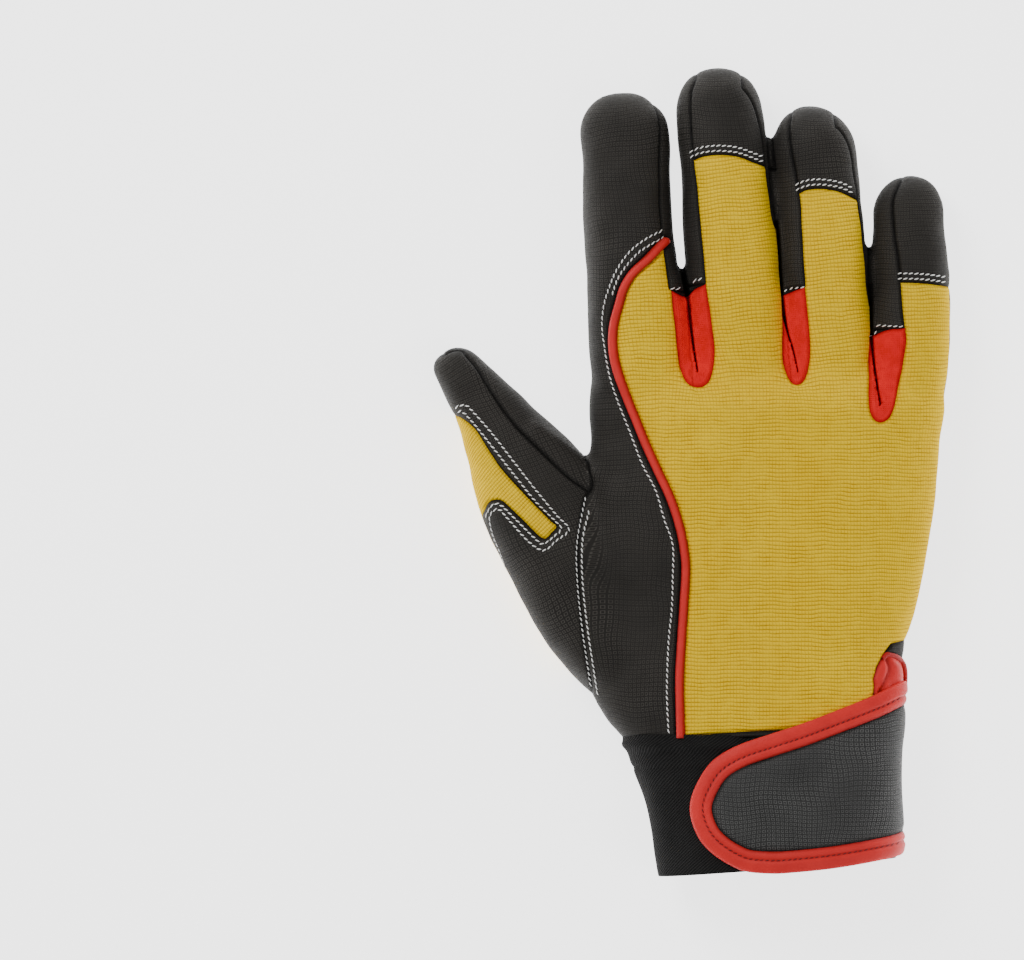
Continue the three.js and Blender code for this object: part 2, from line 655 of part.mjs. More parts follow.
// Strap and its binding, on the back of the wrist and cuff
function wrist_form(inset) {
  return palm_form(inset, cut_reach).add(cuff_form(inset, cut_reach, cut_reach));
}
const strap_low = strap_low_edge * cuff_height;
const strap_bed = wrist_form(-strap_gap);
const strap_layer = wrist_form(-strap_gap - strap_thickness).subtract(strap_bed);
const binding_layer = wrist_form(-strap_gap - binding_thickness).subtract(strap_bed);
const strap_core = grown(strap_shape, -binding_width);
add_piece('strap', 'black_leather', strap_layer.intersect(
  prism(grown(strap_core, -seam_gap), strap_low, all_high),
));
add_piece('strap_binding', 'red_leather', binding_layer.intersect(
  prism(strap_shape, strap_low, all_high).subtract(prism(strap_core, below, all_high)),
));

export default pieces;
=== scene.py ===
"""Looks of the right-hand leather and knit glove, lying palm down.

The skin is one smooth form that is cut along its seams into the panels. Sizes are in millimetres in the
glove's own frame (+X little-finger side, +Y fingertips, +Z back of the hand) and become metres in to_mesh.
"""
import json

import bmesh
import bpy
import numpy as np
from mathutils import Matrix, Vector
from mathutils.bvhtree import BVHTree
from mathutils.kdtree import KDTree

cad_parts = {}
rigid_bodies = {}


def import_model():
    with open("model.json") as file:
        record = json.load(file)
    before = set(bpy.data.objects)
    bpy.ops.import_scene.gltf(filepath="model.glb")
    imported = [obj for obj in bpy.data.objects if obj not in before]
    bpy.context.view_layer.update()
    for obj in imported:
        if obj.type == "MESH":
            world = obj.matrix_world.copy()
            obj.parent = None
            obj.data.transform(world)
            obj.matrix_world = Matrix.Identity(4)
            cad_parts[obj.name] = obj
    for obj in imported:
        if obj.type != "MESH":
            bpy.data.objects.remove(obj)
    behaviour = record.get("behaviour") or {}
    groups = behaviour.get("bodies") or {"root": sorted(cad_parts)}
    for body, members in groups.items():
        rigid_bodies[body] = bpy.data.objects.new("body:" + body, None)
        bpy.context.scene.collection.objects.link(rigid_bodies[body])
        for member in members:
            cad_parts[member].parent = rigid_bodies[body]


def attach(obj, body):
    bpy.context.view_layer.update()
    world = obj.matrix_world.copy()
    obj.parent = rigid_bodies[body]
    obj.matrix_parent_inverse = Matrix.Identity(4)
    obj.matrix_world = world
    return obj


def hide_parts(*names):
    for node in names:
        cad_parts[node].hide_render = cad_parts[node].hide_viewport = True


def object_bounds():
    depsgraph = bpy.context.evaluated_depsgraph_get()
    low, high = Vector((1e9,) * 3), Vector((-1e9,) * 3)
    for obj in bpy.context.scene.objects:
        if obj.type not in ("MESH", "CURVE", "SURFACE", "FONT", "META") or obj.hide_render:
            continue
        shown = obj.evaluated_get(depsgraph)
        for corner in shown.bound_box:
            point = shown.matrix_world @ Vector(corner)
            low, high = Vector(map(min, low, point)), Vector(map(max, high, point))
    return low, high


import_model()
start_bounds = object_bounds()
rng = np.random.default_rng(7)

# ---- Driving sizes, scaled with the frame
MM = 0.001
full_length = (start_bounds[1][1] - start_bounds[0][1]) / MM
scale = full_length / 250.0
palm_width = 105 * scale
palm_length = 113 * scale
palm_height = 34 * scale
finger_length = 100 * scale
finger_width = 27 * scale
finger_height = 28 * scale
thumb_length = 113 * scale
thumb_width = 37 * scale
thumb_height = 28 * scale
cuff_length = 43 * scale
cuff_width = 76 * scale
cuff_height = 38 * scale
skin_thickness = 1.2 * scale
seam_gap = 0.3 * scale
round_power = 2.4

voxel = 1.35 * scale
groove_depth = 0.75 * scale
groove_reach = 0.6 * scale
pillow_rise = 0.35 * scale
pillow_reach = 3.0 * scale
piping_half_width = 1.4 * scale
piping_rise = 1.0 * scale
stitch_length = 1.4 * scale
stitch_pitch = 1.7 * scale
stitch_radius = 0.21 * scale
stitch_slant = 0.32
row_spacing = 1.6 * scale

# ---- Tables of shares
# Root of each digit as shares of the palm, its lean in degrees, its length, width and height as shares
digits = {
    "index": dict(x=-0.352, y=0.398, lean=2.9, length=1.0, width=1.0, height=0.98),
    "middle": dict(x=-0.033, y=0.398, lean=5.4, length=1.078, width=1.0, height=1.0),
    "ring": dict(x=0.229, y=0.398, lean=5.2, length=0.963, width=0.96, height=0.97),
    "little": dict(x=0.45, y=0.336, lean=1.4, length=0.81, width=0.85, height=0.86),
}
# Share of the finger's length, left and right edge as shares of its width
digit_outlines = {
    "index": [[0, -.45, .6], [.2, -.535, .66], [.37, -.523, .6], [.46, -.518, .505], [.53, -.515, .472],
              [.7, -.515, .472], [.86, -.52, .475], [1, -.5, .46]],
    "middle": [[0, -.58, .66], [.2, -.57, .59], [.37, -.562, .525], [.5, -.545, .52], [.7, -.505, .495],
               [.87, -.478, .475], [1, -.49, .41]],
    "ring": [[0, -.52, .52], [.2, -.54, .51], [.4, -.52, .515], [.66, -.475, .51], [.8, -.485, .505],
             [.885, -.48, .485], [1, -.46, .39]],
    "little": [[0, -.45, .3], [.18, -.52, .45], [.36, -.535, .555], [.45, -.51, .56], [.58, -.465, .54],
               [.75, -.465, .505], [.88, -.458, .51], [1, -.42, .5]],
}
digit_tip_start = {"index": 0.86, "middle": 0.88, "ring": 0.84, "little": 0.85}
# Share of length, underside and top as shares of the height
digit_profile = [[0, -.12, 1.02], [.3, -.12, 1.04], [.5, -.11, 1.0], [.7, -.1, .93], [.86, -.09, .84],
                 [1, -.05, .74]]
# Share of palm length, left and right edge of its width, underside and top of its height
palm_outline = [
    [-.6, -.36, .4, -.12, 1.08], [-.483, -.412, .405, -.12, 1.07], [-.4, -.474, .408, -.12, 1.05],
    [-.327, -.502, .413, -.12, 1.03], [-.25, -.514, .42, -.12, 1.01], [-.137, -.53, .456, -.12, 1.0],
    [.02, -.535, .486, -.12, 1.0], [.17, -.515, .515, -.12, 1.0], [.32, -.497, .53, -.12, .99],
    [.44, -.497, .542, -.12, .95], [.5, -.485, .535, -.1, .84], [.54, -.46, .52, -.04, .7],
]
thumb_root = dict(x=-0.438, y=-0.319, lean=25.2)
thumb_outline = [
    [-.03, -.19, .45, -.1, 1.0], [.03, -.255, .5, -.12, 1.04], [.13, -.34, .55, -.12, 1.05],
    [.3, -.398, .58, -.12, 1.04], [.46, -.41, .588, -.12, .99], [.53, -.407, .585, -.12, .95],
    [.6, -.38, .555, -.12, .9], [.68, -.32, .475, -.11, .85], [.77, -.268, .345, -.1, .78],
    [.87, -.256, .21, -.1, .68], [.94, -.246, .13, -.08, .6], [.972, -.235, .09, -.02, .53],
    [.99, -.18, .04, .04, .46], [1.0, -.1, -.02, .12, .38],
]
# Share of cuff length, left and right edge of its width, underside and top of its height, slant of the plane
cuff_outline = [
    [-.6, -.73, .56, -.12, .96, 0], [-.3, -.65, .548, -.12, .96, 0], [0, -.56, .55, -.12, .96, 0],
    [.2, -.523, .546, -.12, .98, 0], [.4, -.478, .546, -.12, 1.0, .03], [.6, -.446, .55, -.12, 1.02, .07],
    [.8, -.421, .552, -.12, 1.03, .12], [.865, -.408, .548, -.11, 1.02, .14],
]

slits = {
    "index_middle": [[-.185, .514], [-.197, .588], [-.206, .656], [-.213, .72], [-.226, .79], [-.238, .86],
                     [-.247, 1.01], [-.253, 1.165], [-.26, 1.45]],
    "middle_ring": [[.109, .514], [.097, .569], [.079, .629], [.068, .697], [.06, .78], [.053, .89],
                    [.035, 1.01], [.02, 1.165], [.01, 1.45]],
    "ring_little": [[.35, .416], [.341, .479], [.333, .547], [.327, .615], [.328, .72], [.324, .8],
                    [.32, .95], [.312, 1.05], [.3, 1.3]],
}
# Share of the palm up to which neighbouring fingers touch, and half the width of the slit between them
slit_ends = {"index_middle": 0.8, "middle_ring": 0.93, "ring_little": 0.76}
slit_half_widths = {"index_middle": [0.3, 1.15], "middle_ring": [0.25, 0.7], "ring_little": [0.3, 0.8]}
gussets = {
    "index_middle": [
        [[-.259, .736], [-.253, .684], [-.244, .629], [-.238, .574], [-.232, .52], [-.218, .487],
         [-.191, .473], [-.165, .479], [-.147, .503], [-.141, .561], [-.144, .615], [-.153, .684],
         [-.165, .752]],
        [[-.165, .752], [-.2, .738], [-.22, .722], [-.259, .736]],
    ],
    "middle_ring": [
        [[.065, .722], [.069, .656], [.071, .588], [.073, .533], [.083, .498], [.1, .481], [.121, .487],
         [.135, .514], [.141, .574], [.138, .643], [.132, .711], [.127, .744]],
        [[.127, .744], [.1, .736], [.065, .722]],
    ],
    "ring_little": [
        [[.323, .61], [.32, .52], [.316, .451], [.32, .405], [.335, .38], [.353, .375], [.375, .386],
         [.391, .416], [.406, .479], [.418, .541], [.427, .596], [.424, .632]],
        [[.424, .632], [.37, .628], [.323, .61]],
    ],
}
piping_line = [
    [-.278, .87], [-.3, .85], [-.331, .82], [-.375, .782], [-.4, .745], [-.414, .706], [-.435, .629],
    [-.432, .552], [-.406, .476], [-.375, .399], [-.343, .323], [-.305, .246], [-.267, .17], [-.24, .093],
    [-.225, .02], [-.222, -.04], [-.231, -.175], [-.24, -.328], [-.238, -.443], [-.236, -.56],
]
# Seams of the finger backs, in shares of the finger's length and width
cap_seams = {
    "middle": dict(
        left=[[.37, -.368], [.5, -.373], [.612, -.368], [.738, -.375]],
        edge=[[.738, -.375], [.744, -.3], [.747, -.2], [.746, -.05], [.736, .15], [.715, .34], [.685, .6]],
        left_tip=[[.738, -.375], [.856, -.353], [.93, -.325], [.975, -.25], [1.03, -.17]],
        right_tip=[[1.03, .26], [.97, .3], [.93, .37], [.86, .6]],
    ),
    "ring": dict(
        left=[[.4, -.265], [.552, -.25], [.648, -.243], [.716, -.243]],
        edge=[[.716, -.243], [.724, -.15], [.726, -.02], [.72, .129], [.702, .326], [.65, .62]],
        left_tip=[[.716, -.243], [.859, -.275], [.93, -.278], [.975, -.23], [1.03, -.17]],
        right_tip=[[1.03, .16], [.97, .28], [.92, .38], [.86, .6]],
    ),
    "little": dict(
        left=[[.4, -.082], [.485, -.112], [.589, -.134]],
        edge=[[.589, -.134], [.586, .1], [.578, .35], [.56, .7]],
        left_tip=[[.589, -.134], [.68, -.155], [.772, -.195], [.887, -.21], [.95, -.14], [1.03, .04]],
        right_tip=[[1.03, .45], [.9, .7]],
    ),
}
index_strip_seam = [[.36, .41], [.441, .395], [.497, .37], [.596, .35], [.813, .377], [.9, .385],
                    [.955, .34], [.985, .3], [1.03, .26]]
back_wrist_edge = [[.7, .45], [.7, -.21], [.43, -.219], [.385, -.228], [.366, -.25], [.341, -.29],
                   [.333, -.328], [.338, -.38], [.35, -.46]]
back_bottom_edge = [[.35, -.46], [.2, -.459], [.0, -.463], [-.12, -.47], [-.236, -.483]]
vent_outline = [[.332, -.325], [.334, -.316], [.343, -.291], [.355, -.27], [.365, -.26], [.376, -.257],
                [.393, -.261], [.411, -.272], [.422, -.286], [.427, -.305], [.428, -.327], [.427, -.38],
                [.34, -.38], [.334, -.34]]
vent_crease = [[.371, -.272], [.376, -.299], [.362, -.331], [.35, -.361]]
thumb_fold = [[-.66, .355], [-.6, .315], [-.545, .275], [-.494, .235]]
# Thumb seams, in shares of the thumb's length and width
thumb_ridge = [[1.05, .0], [.965, .045], [.92, .08], [.826, .115], [.728, .175], [.637, .275], [.544, .39],
               [.47, .52]]
thumb_under_seam = [[1.05, -.12], [.837, -.121], [.699, -.069], [.526, .052], [.32, .153], [.121, .265],
                    [-.048, .363], [-.22, .43]]
insert_on_back = [
    [[-.942, .388], [-.892, .391]],
    [[-.892, .391], [-.88, .386], [-.848, .363], [-.817, .323], [-.767, .254], [-.693, .179], [-.612, .103]],
    [[-.612, .103], [-.602, .097], [-.6, .089], [-.608, .081]],
    [[-.608, .081], [-.64, .06], [-.699, .11], [-.755, .159]],
    [[-.755, .159], [-.774, .165], [-.803, .156], [-.818, .12]],
    [[-.818, .12], [-.83, .098], [-.95, .098]],
]
insert_underneath = [
    [[.84, -.6], [.832, -.27], [.79, -.225], [.71, -.22]],
    [[.71, -.22], [.62, -.235], [.513, -.24], [.4, -.235], [.291, -.211], [.16, -.17], [.06, -.15]],
    [[.06, -.15], [.045, -.2], [.1, -.33], [.2, -.6]],
]
# Edge of the thumb panels, as shares of the palm
thumb_back_edge = [[-.9, .8], [-.6, .42], [-.53, .3], [-.499, .25], [-.496, .2], [-.515, .16],
                   [-.535, .052], [-.535, -.052], [-.524, -.186], [-.494, -.366], [-.48, -.45]]
thumb_palm_edge = [
    [[-.9, .8], [-.6, .42], [-.53, .3], [-.499, .25], [-.47, .232], [-.418, .21]],
    [[-.418, .21], [-.386, .17], [-.353, .1], [-.32, .02], [-.27, -.07], [-.213, -.145], [-.165, -.21],
     [-.137, -.28]],
    [[-.137, -.28], [-.16, -.345], [-.2, -.395], [-.25, -.425], [-.315, -.435], [-.39, -.425], [-.46, -.41]],
]
saddle_edge = [
    [[-.418, .21], [-.353, .213], [-.283, .185], [-.218, .118], [-.165, .04], [-.13, -.044], [-.112, -.126],
     [-.11, -.2], [-.137, -.28]],
    thumb_palm_edge[1][::-1],
]
# Strap outline: share of the cuff's width, share of its length below the wrist seam
strap_outline = [
    [.8, -.48], [.594, -.407], [.447, -.3], [.285, -.192], [.16, -.11], [.041, -.041], [-.081, .031],
    [-.163, .103], [-.216, .182], [-.256, .29], [-.285, .412], [-.291, .52], [-.276, .627], [-.244, .735],
    [-.191, .828], [-.126, .9], [-.061, .944], [.041, .958], [.122, .951], [.285, .923], [.447, .879],
    [.557, .844], [.62, .815], [.8, .74],
]
binding_width = 6.8 * scale
panel_low_edges = dict(back=.38, cap=.36, strip_high=.66, strip_low=.26, thumb=.42, strap=.3, vent=.4)


# ---- Small geometry helpers
def smooth_line(points, step=0.7):
    """Catmull-Rom curve through the points, sampled about every step."""
    points = np.asarray(points, float)
    if len(points) < 3:
        return points
    padded = np.vstack([2 * points[0] - points[1], points, 2 * points[-1] - points[-2]])
    out = []
    for a, b, c, d in zip(padded, padded[1:], padded[2:], padded[3:]):
        count = max(2, int(np.linalg.norm(c - b) / step))
        t = np.linspace(0, 1, count, endpoint=False)[:, None]
        out.append(0.5 * (2 * b + (c - a) * t + (2 * a - 5 * b + 4 * c - d) * t**2
                          + (3 * b - a - 3 * c + d) * t**3))
    return np.vstack(out + [points[-1:]])


def table_curve(table, along, column):
    """Smooth reading of a table column."""
    table = np.asarray(table, float)
    x, y = table[:, 0], table[:, column]
    slope = np.gradient(y, x)
    i = np.clip(np.searchsorted(x, along) - 1, 0, len(x) - 2)
    h = x[i + 1] - x[i]
    t = np.clip((along - x[i]) / h, 0, 1)
    return ((2 * t**3 - 3 * t**2 + 1) * y[i] + (t**3 - 2 * t**2 + t) * h * slope[i]
            + (3 * t**2 - 2 * t**3) * y[i + 1] + (t**3 - t**2) * h * slope[i + 1])


def palm_points(shares):
    return np.asarray(shares, float) * [palm_width, palm_length]


mid_palm = panel_low_edges["back"] * palm_height
wrist_y = -0.483 * palm_length
cuff_top_y = wrist_y - seam_gap


def cuff_points(shares):
    shares = np.asarray(shares, float)
    return np.column_stack([shares[:, 0] * cuff_width, cuff_top_y - shares[:, 1] * cuff_length])


def digit_points(root, length, width, shares):
    shares = np.asarray(shares, float)
    lean = np.radians(root["lean"])
    along, across = shares[:, 0] * length, shares[:, 1] * width
    x = root["x"] * palm_width - np.sin(lean) * along + np.cos(lean) * across
    y = root["y"] * palm_length + np.cos(lean) * along + np.sin(lean) * across
    return np.column_stack([x, y])


def finger_points(name, shares):
    digit = digits[name]
    return digit_points(digit, finger_length * digit["length"], finger_width * digit["width"], shares)


def thumb_points(shares):
    return digit_points(thumb_root, thumb_length, thumb_width, shares)


def palm_line(shares, step=0.7):
    return smooth_line(palm_points(shares), step)


def finger_line(name, shares):
    return smooth_line(finger_points(name, shares))


def thumb_line(shares):
    return smooth_line(thumb_points(shares))


def reads(table, along, columns, factor=1.0):
    """Some columns of a table at one share of the length, times a size."""
    return [table_curve(table, along, k) * factor for k in columns]


def hump(x, width):
    """Rounded hump, 1 where x is 0."""
    return np.exp(-(x / width) ** 2)


def unit(vectors):
    return vectors / np.maximum(np.linalg.norm(vectors, axis=-1, keepdims=True), 1e-9)


def sideways(line):
    """Unit steps along a line in the plane, and the same turned to their left."""
    way = unit(np.gradient(line, axis=0))
    return way, np.column_stack([-way[:, 1], way[:, 0]])


def signed_distance(xy, outline):
    """Distance to a closed outline in the plane, negative inside."""
    x, y = xy[:, 0], xy[:, 1]
    nearest = np.full(len(x), 1e12)
    inside = np.zeros(len(x), bool)
    for (ax, ay), (bx, by) in zip(outline, np.roll(outline, -1, 0)):
        dx, dy = bx - ax, by - ay
        if dx * dx + dy * dy < 1e-12:
            continue
        t = np.clip(((x - ax) * dx + (y - ay) * dy) / (dx * dx + dy * dy), 0, 1)
        np.minimum(nearest, (x - ax - t * dx) ** 2 + (y - ay - t * dy) ** 2, out=nearest)
        if abs(dy) > 1e-12:
            inside ^= ((ay > y) != (by > y)) & (x < dx * (y - ay) / dy + ax)
    return np.where(inside, -1, 1) * np.sqrt(nearest)


def nearest_on_line(xy, line):
    """Distance to an open line in the plane, and how far along the line, from 0 to 1."""
    x, y = xy[:, 0], xy[:, 1]
    nearest = np.full(len(x), 1e12)
    share = np.zeros(len(x))
    for number, ((ax, ay), (bx, by)) in enumerate(zip(line, line[1:])):
        dx, dy = bx - ax, by - ay
        t = np.clip(((x - ax) * dx + (y - ay) * dy) / (dx * dx + dy * dy + 1e-12), 0, 1)
        off = (x - ax - t * dx) ** 2 + (y - ay - t * dy) ** 2
        share = np.where(off < nearest, (number + t) / (len(line) - 1), share)
        np.minimum(nearest, off, out=nearest)
    return np.sqrt(nearest), share


def line_distance(xy, line):
    return nearest_on_line(xy, line)[0]


def band(line, half_widths):
    """Closed outline of a band round an open line, its half width given at both ends."""
    way, side = sideways(line)
    half = np.linspace(*half_widths, len(line))[:, None]
    turn = np.linspace(np.pi / 2, 3 * np.pi / 2, 7)[1:-1]
    start = [line[0] + half[0] * (np.cos(a) * way[0] + np.sin(a) * side[0]) for a in turn]
    return np.vstack([start, line - side * half, (line + side * half)[::-1]])


# ---- Soft forms
def oval_ring(left, right, base, top, count, squeeze=1.0):
    """One flattened oval; squeeze below 1 draws it in towards a tip."""
    angle = np.linspace(0, 2 * np.pi, count, endpoint=False)
    c, s = np.cos(angle), np.sin(angle)
    power = 2 / round_power
    across = (left + right) / 2 + (right - left) / 2 * squeeze * np.sign(c) * np.abs(c) ** power
    rise = (base + top) / 2 * (0.82 + 0.18 * squeeze)
    up = rise + (top - base) / 2 * squeeze * np.sign(s) * np.abs(s) ** power
    return across, up


def section(table, along, width, height, count, grow=0.0):
    """Oval between the sides and heights that a table gives at one share of the length."""
    left, right = reads(table, along, (1, 2), width)
    base, top = reads(table, along, (3, 4), height)
    return oval_ring(left - grow, right + grow, base - grow, top + grow, count)


def ring_loft(rings):
    """Vertices and quads of a loft round closed rings, left open at its ends."""
    rings = np.asarray(rings)
    rows, count = rings.shape[:2]
    vertices = rings.reshape(-1, 3)
    j, i = np.meshgrid(np.arange(rows - 1), np.arange(count), indexing="ij")
    a = j * count + i
    b = j * count + (i + 1) % count
    quads = np.stack([a, b, b + count, a + count], -1).reshape(-1, 4)
    return vertices, quads


def halved(quads):
    return np.vstack([quads[:, [0, 1, 2]], quads[:, [0, 2, 3]]])


def solid_from_rings(name, rings):
    vertices, quads = ring_loft(rings)
    rows, count = np.asarray(rings).shape[:2]
    mesh = bpy.data.meshes.new(name)
    faces = quads.tolist() + [list(range(count))[::-1], list(range((rows - 1) * count, rows * count))]
    mesh.from_pydata((vertices * MM).tolist(), [], faces)
    bm = bmesh.new()
    bm.from_mesh(mesh)
    bmesh.ops.recalc_face_normals(bm, faces=bm.faces)
    bm.to_mesh(mesh)
    bm.free()
    piece = bpy.data.objects.new(name, mesh)
    bpy.context.collection.objects.link(piece)
    return piece


def finger_rings(name, count=56, rows=70):
    digit = digits[name]
    height = finger_height * digit["height"]
    start = digit_tip_start[name]
    body = np.linspace(0, start, rows)
    tip = start + (1 - start) * np.sin(np.linspace(0, np.pi / 2, 22))[1:]
    rings = []
    for along in np.concatenate([body, tip]):
        squeeze = max(0.0, 1 - max(0.0, (along - start) / (1 - start)) ** 2.2) ** (1 / 2.2)
        squeeze = max(squeeze, 0.06)
        left, right = reads(digit_outlines[name], along, (1, 2))
        base, top = reads(digit_profile, along, (1, 2), height)
        across, up = oval_ring(left, right, base, top, count, squeeze)
        xy = finger_points(name, np.column_stack([np.full(count, along), across]))
        rings.append(np.column_stack([xy, up]))
    return rings


def thumb_rings(count=64, rows=90):
    rings = []
    tip = .94 + .06 * np.sin(np.linspace(0, np.pi / 2, 16))[1:]
    for along in np.concatenate([np.linspace(-.03, .94, rows), tip]):
        across, up = section(thumb_outline, along, 1.0, thumb_height, count)
        xy = thumb_points(np.column_stack([np.full(count, along), across]))
        rings.append(np.column_stack([xy, up]))
    return rings


def palm_rings(count=120, rows=100):
    rings = []
    for along in np.linspace(-.6, .54, rows):
        across, up = section(palm_outline, along, palm_width, palm_height, count)
        rings.append(np.column_stack([across, np.full(count, along * palm_length), up]))
    return rings


def cuff_rings(count=170, rows=64):
    rings = []
    for along in np.linspace(-.03, .865, rows):
        slant = table_curve(cuff_outline, along, 5)
        across, up = section(cuff_outline, along, cuff_width, cuff_height, count)
        up = np.maximum(up, 0)
        y = cuff_top_y - (along + slant * (0.5 - across / cuff_width)) * cuff_length
        rings.append(np.column_stack([across, y, up]))
    return rings


def select_only(pieces):
    bpy.ops.object.select_all(action="DESELECT")
    for piece in pieces:
        piece.select_set(True)
    bpy.context.view_layer.objects.active = pieces[0]


def modify(piece, kind, **settings):
    """Adds a modifier with its settings and applies it."""
    modifier = piece.modifiers.new(kind.lower(), kind)
    for key, value in settings.items():
        setattr(modifier, key, value)
    select_only([piece])
    bpy.ops.object.modifier_apply(modifier=modifier.name)


def hand_form():
    """The whole hand as one smooth closed form, in millimetres: vertices and triangles."""
    parts = [solid_from_rings("palm_form", palm_rings()), solid_from_rings("thumb_form", thumb_rings())]
    parts += [solid_from_rings(f"{name}_form", finger_rings(name)) for name in digits]
    select_only(parts)
    bpy.ops.object.join()
    form = parts[0]
    modify(form, "REMESH", mode="VOXEL", voxel_size=voxel * MM)
    modify(form, "SMOOTH", factor=0.5, iterations=9)
    modify(form, "TRIANGULATE", quad_method="BEAUTY")
    mesh = form.data
    vertices = np.empty(len(mesh.vertices) * 3)
    mesh.vertices.foreach_get("co", vertices)
    corners = np.empty(len(mesh.loops), int)
    mesh.loops.foreach_get("vertex_index", corners)
    bpy.data.objects.remove(form)
    vertices = vertices.reshape(-1, 3) / MM
    vertices[:, 2] = np.maximum(vertices[:, 2], 0)
    return vertices, corners.reshape(-1, 3)


# ---- Cutting a triangle mesh along seams
# Heights above and below the whole glove; marks of skin that is cut away and of folds while they are scored
HIGH, LOW = 200.0, -50.0
GONE, FOLD = 99, 98
seam_snap = 0.04
seam_halvings = 7


def edge_list(triangles):
    ends = np.sort(np.concatenate([triangles[:, [0, 1]], triangles[:, [1, 2]], triangles[:, [2, 0]]]), 1)
    edges, place = np.unique(ends, axis=0, return_inverse=True)
    return edges, place.reshape(3, -1).T


def split_edges(vertices, triangles, labels, edges, edge_of, cut, shares):
    """Splits the marked edges at the given shares and redraws the triangles round them."""
    new_index = np.full(len(edges), -1)
    marked = np.flatnonzero(cut)
    new_index[marked] = len(vertices) + np.arange(len(marked))
    a, b = edges[marked, 0], edges[marked, 1]
    t = shares[marked][:, None]
    vertices = np.vstack([vertices, vertices[a] * (1 - t) + vertices[b] * t])
    middle = new_index[edge_of]
    count = (middle >= 0).sum(1)
    out, kept = [triangles[count == 0]], [labels[count == 0]]

    def add(rows, *faces):
        for face in faces:
            out.append(np.stack(face, 1))
            kept.append(labels[rows])

    for turn in range(3):
        corner = np.roll(triangles, -turn, 1)
        side = np.roll(middle, -turn, 1)
        one = (count == 1) & (side[:, 0] >= 0)
        p, q, r = corner[one].T
        m = side[one, 0]
        add(one, (p, m, r), (m, q, r))
        two = (count == 2) & (side[:, 2] < 0)
        p, q, r = corner[two].T
        m, n = side[two, 0], side[two, 1]
        add(two, (m, q, n), (p, m, n), (p, n, r))
    three = count == 3
    p, q, r = triangles[three].T
    m, n, k = middle[three].T
    add(three, (p, m, k), (m, q, n), (k, n, r), (m, n, k))
    return vertices, np.vstack(out), np.concatenate(kept)


def cut_region(vertices, triangles, labels, field, label):
    """Cuts the unlabelled triangles along field == 0 and gives the negative side the label."""
    value = field(vertices)
    value[np.abs(value) < seam_snap] = 0
    edges, edge_of = edge_list(triangles)
    crossing = value[edges[:, 0]] * value[edges[:, 1]] < 0
    free = np.zeros(len(edges), bool)
    free[edge_of[labels == 0].ravel()] = True
    crossing &= free
    shares = np.full(len(edges), 0.5)
    a, b = vertices[edges[crossing, 0]], vertices[edges[crossing, 1]]
    first = value[edges[crossing, 0]] < 0
    near, far = np.zeros(len(a)), np.ones(len(a))
    for _ in range(seam_halvings):
        middle = (near + far) / 2
        same = (field(a + (b - a) * middle[:, None]) < 0) == first
        near, far = np.where(same, middle, near), np.where(same, far, middle)
    shares[crossing] = (near + far) / 2
    vertices, triangles, labels = split_edges(vertices, triangles, labels, edges, edge_of, crossing, shares)
    centre = vertices[triangles].mean(1)
    labels = np.where((labels == 0) & (field(centre) < 0), label, labels)
    return vertices, triangles, labels


def region(outline, low, high):
    """Field of an upright prism over a closed outline."""
    outline = np.asarray(outline)
    x0, y0 = outline.min(0) - 4
    x1, y1 = outline.max(0) + 4

    def field(points):
        value = np.full(len(points), 10.0)
        near = ((points[:, 0] > x0) & (points[:, 0] < x1) & (points[:, 1] > y0) & (points[:, 1] < y1))
        inside = signed_distance(points[near, :2], outline)
        z = points[near, 2]
        value[near] = np.maximum(inside, np.maximum(low - z, z - high))
        return value

    return field


def either(a, b):
    return lambda points: np.minimum(a(points), b(points))


def both(a, b):
    return lambda points: np.maximum(a(points), b(points))


def joined(place, segments):
    """Smooth lines through some segments of shares, put on the glove and set end to end."""
    return np.vstack([smooth_line(place(segment)) for segment in segments])


def above_line(line, y_low):
    return line[line[:, 1] > y_low]


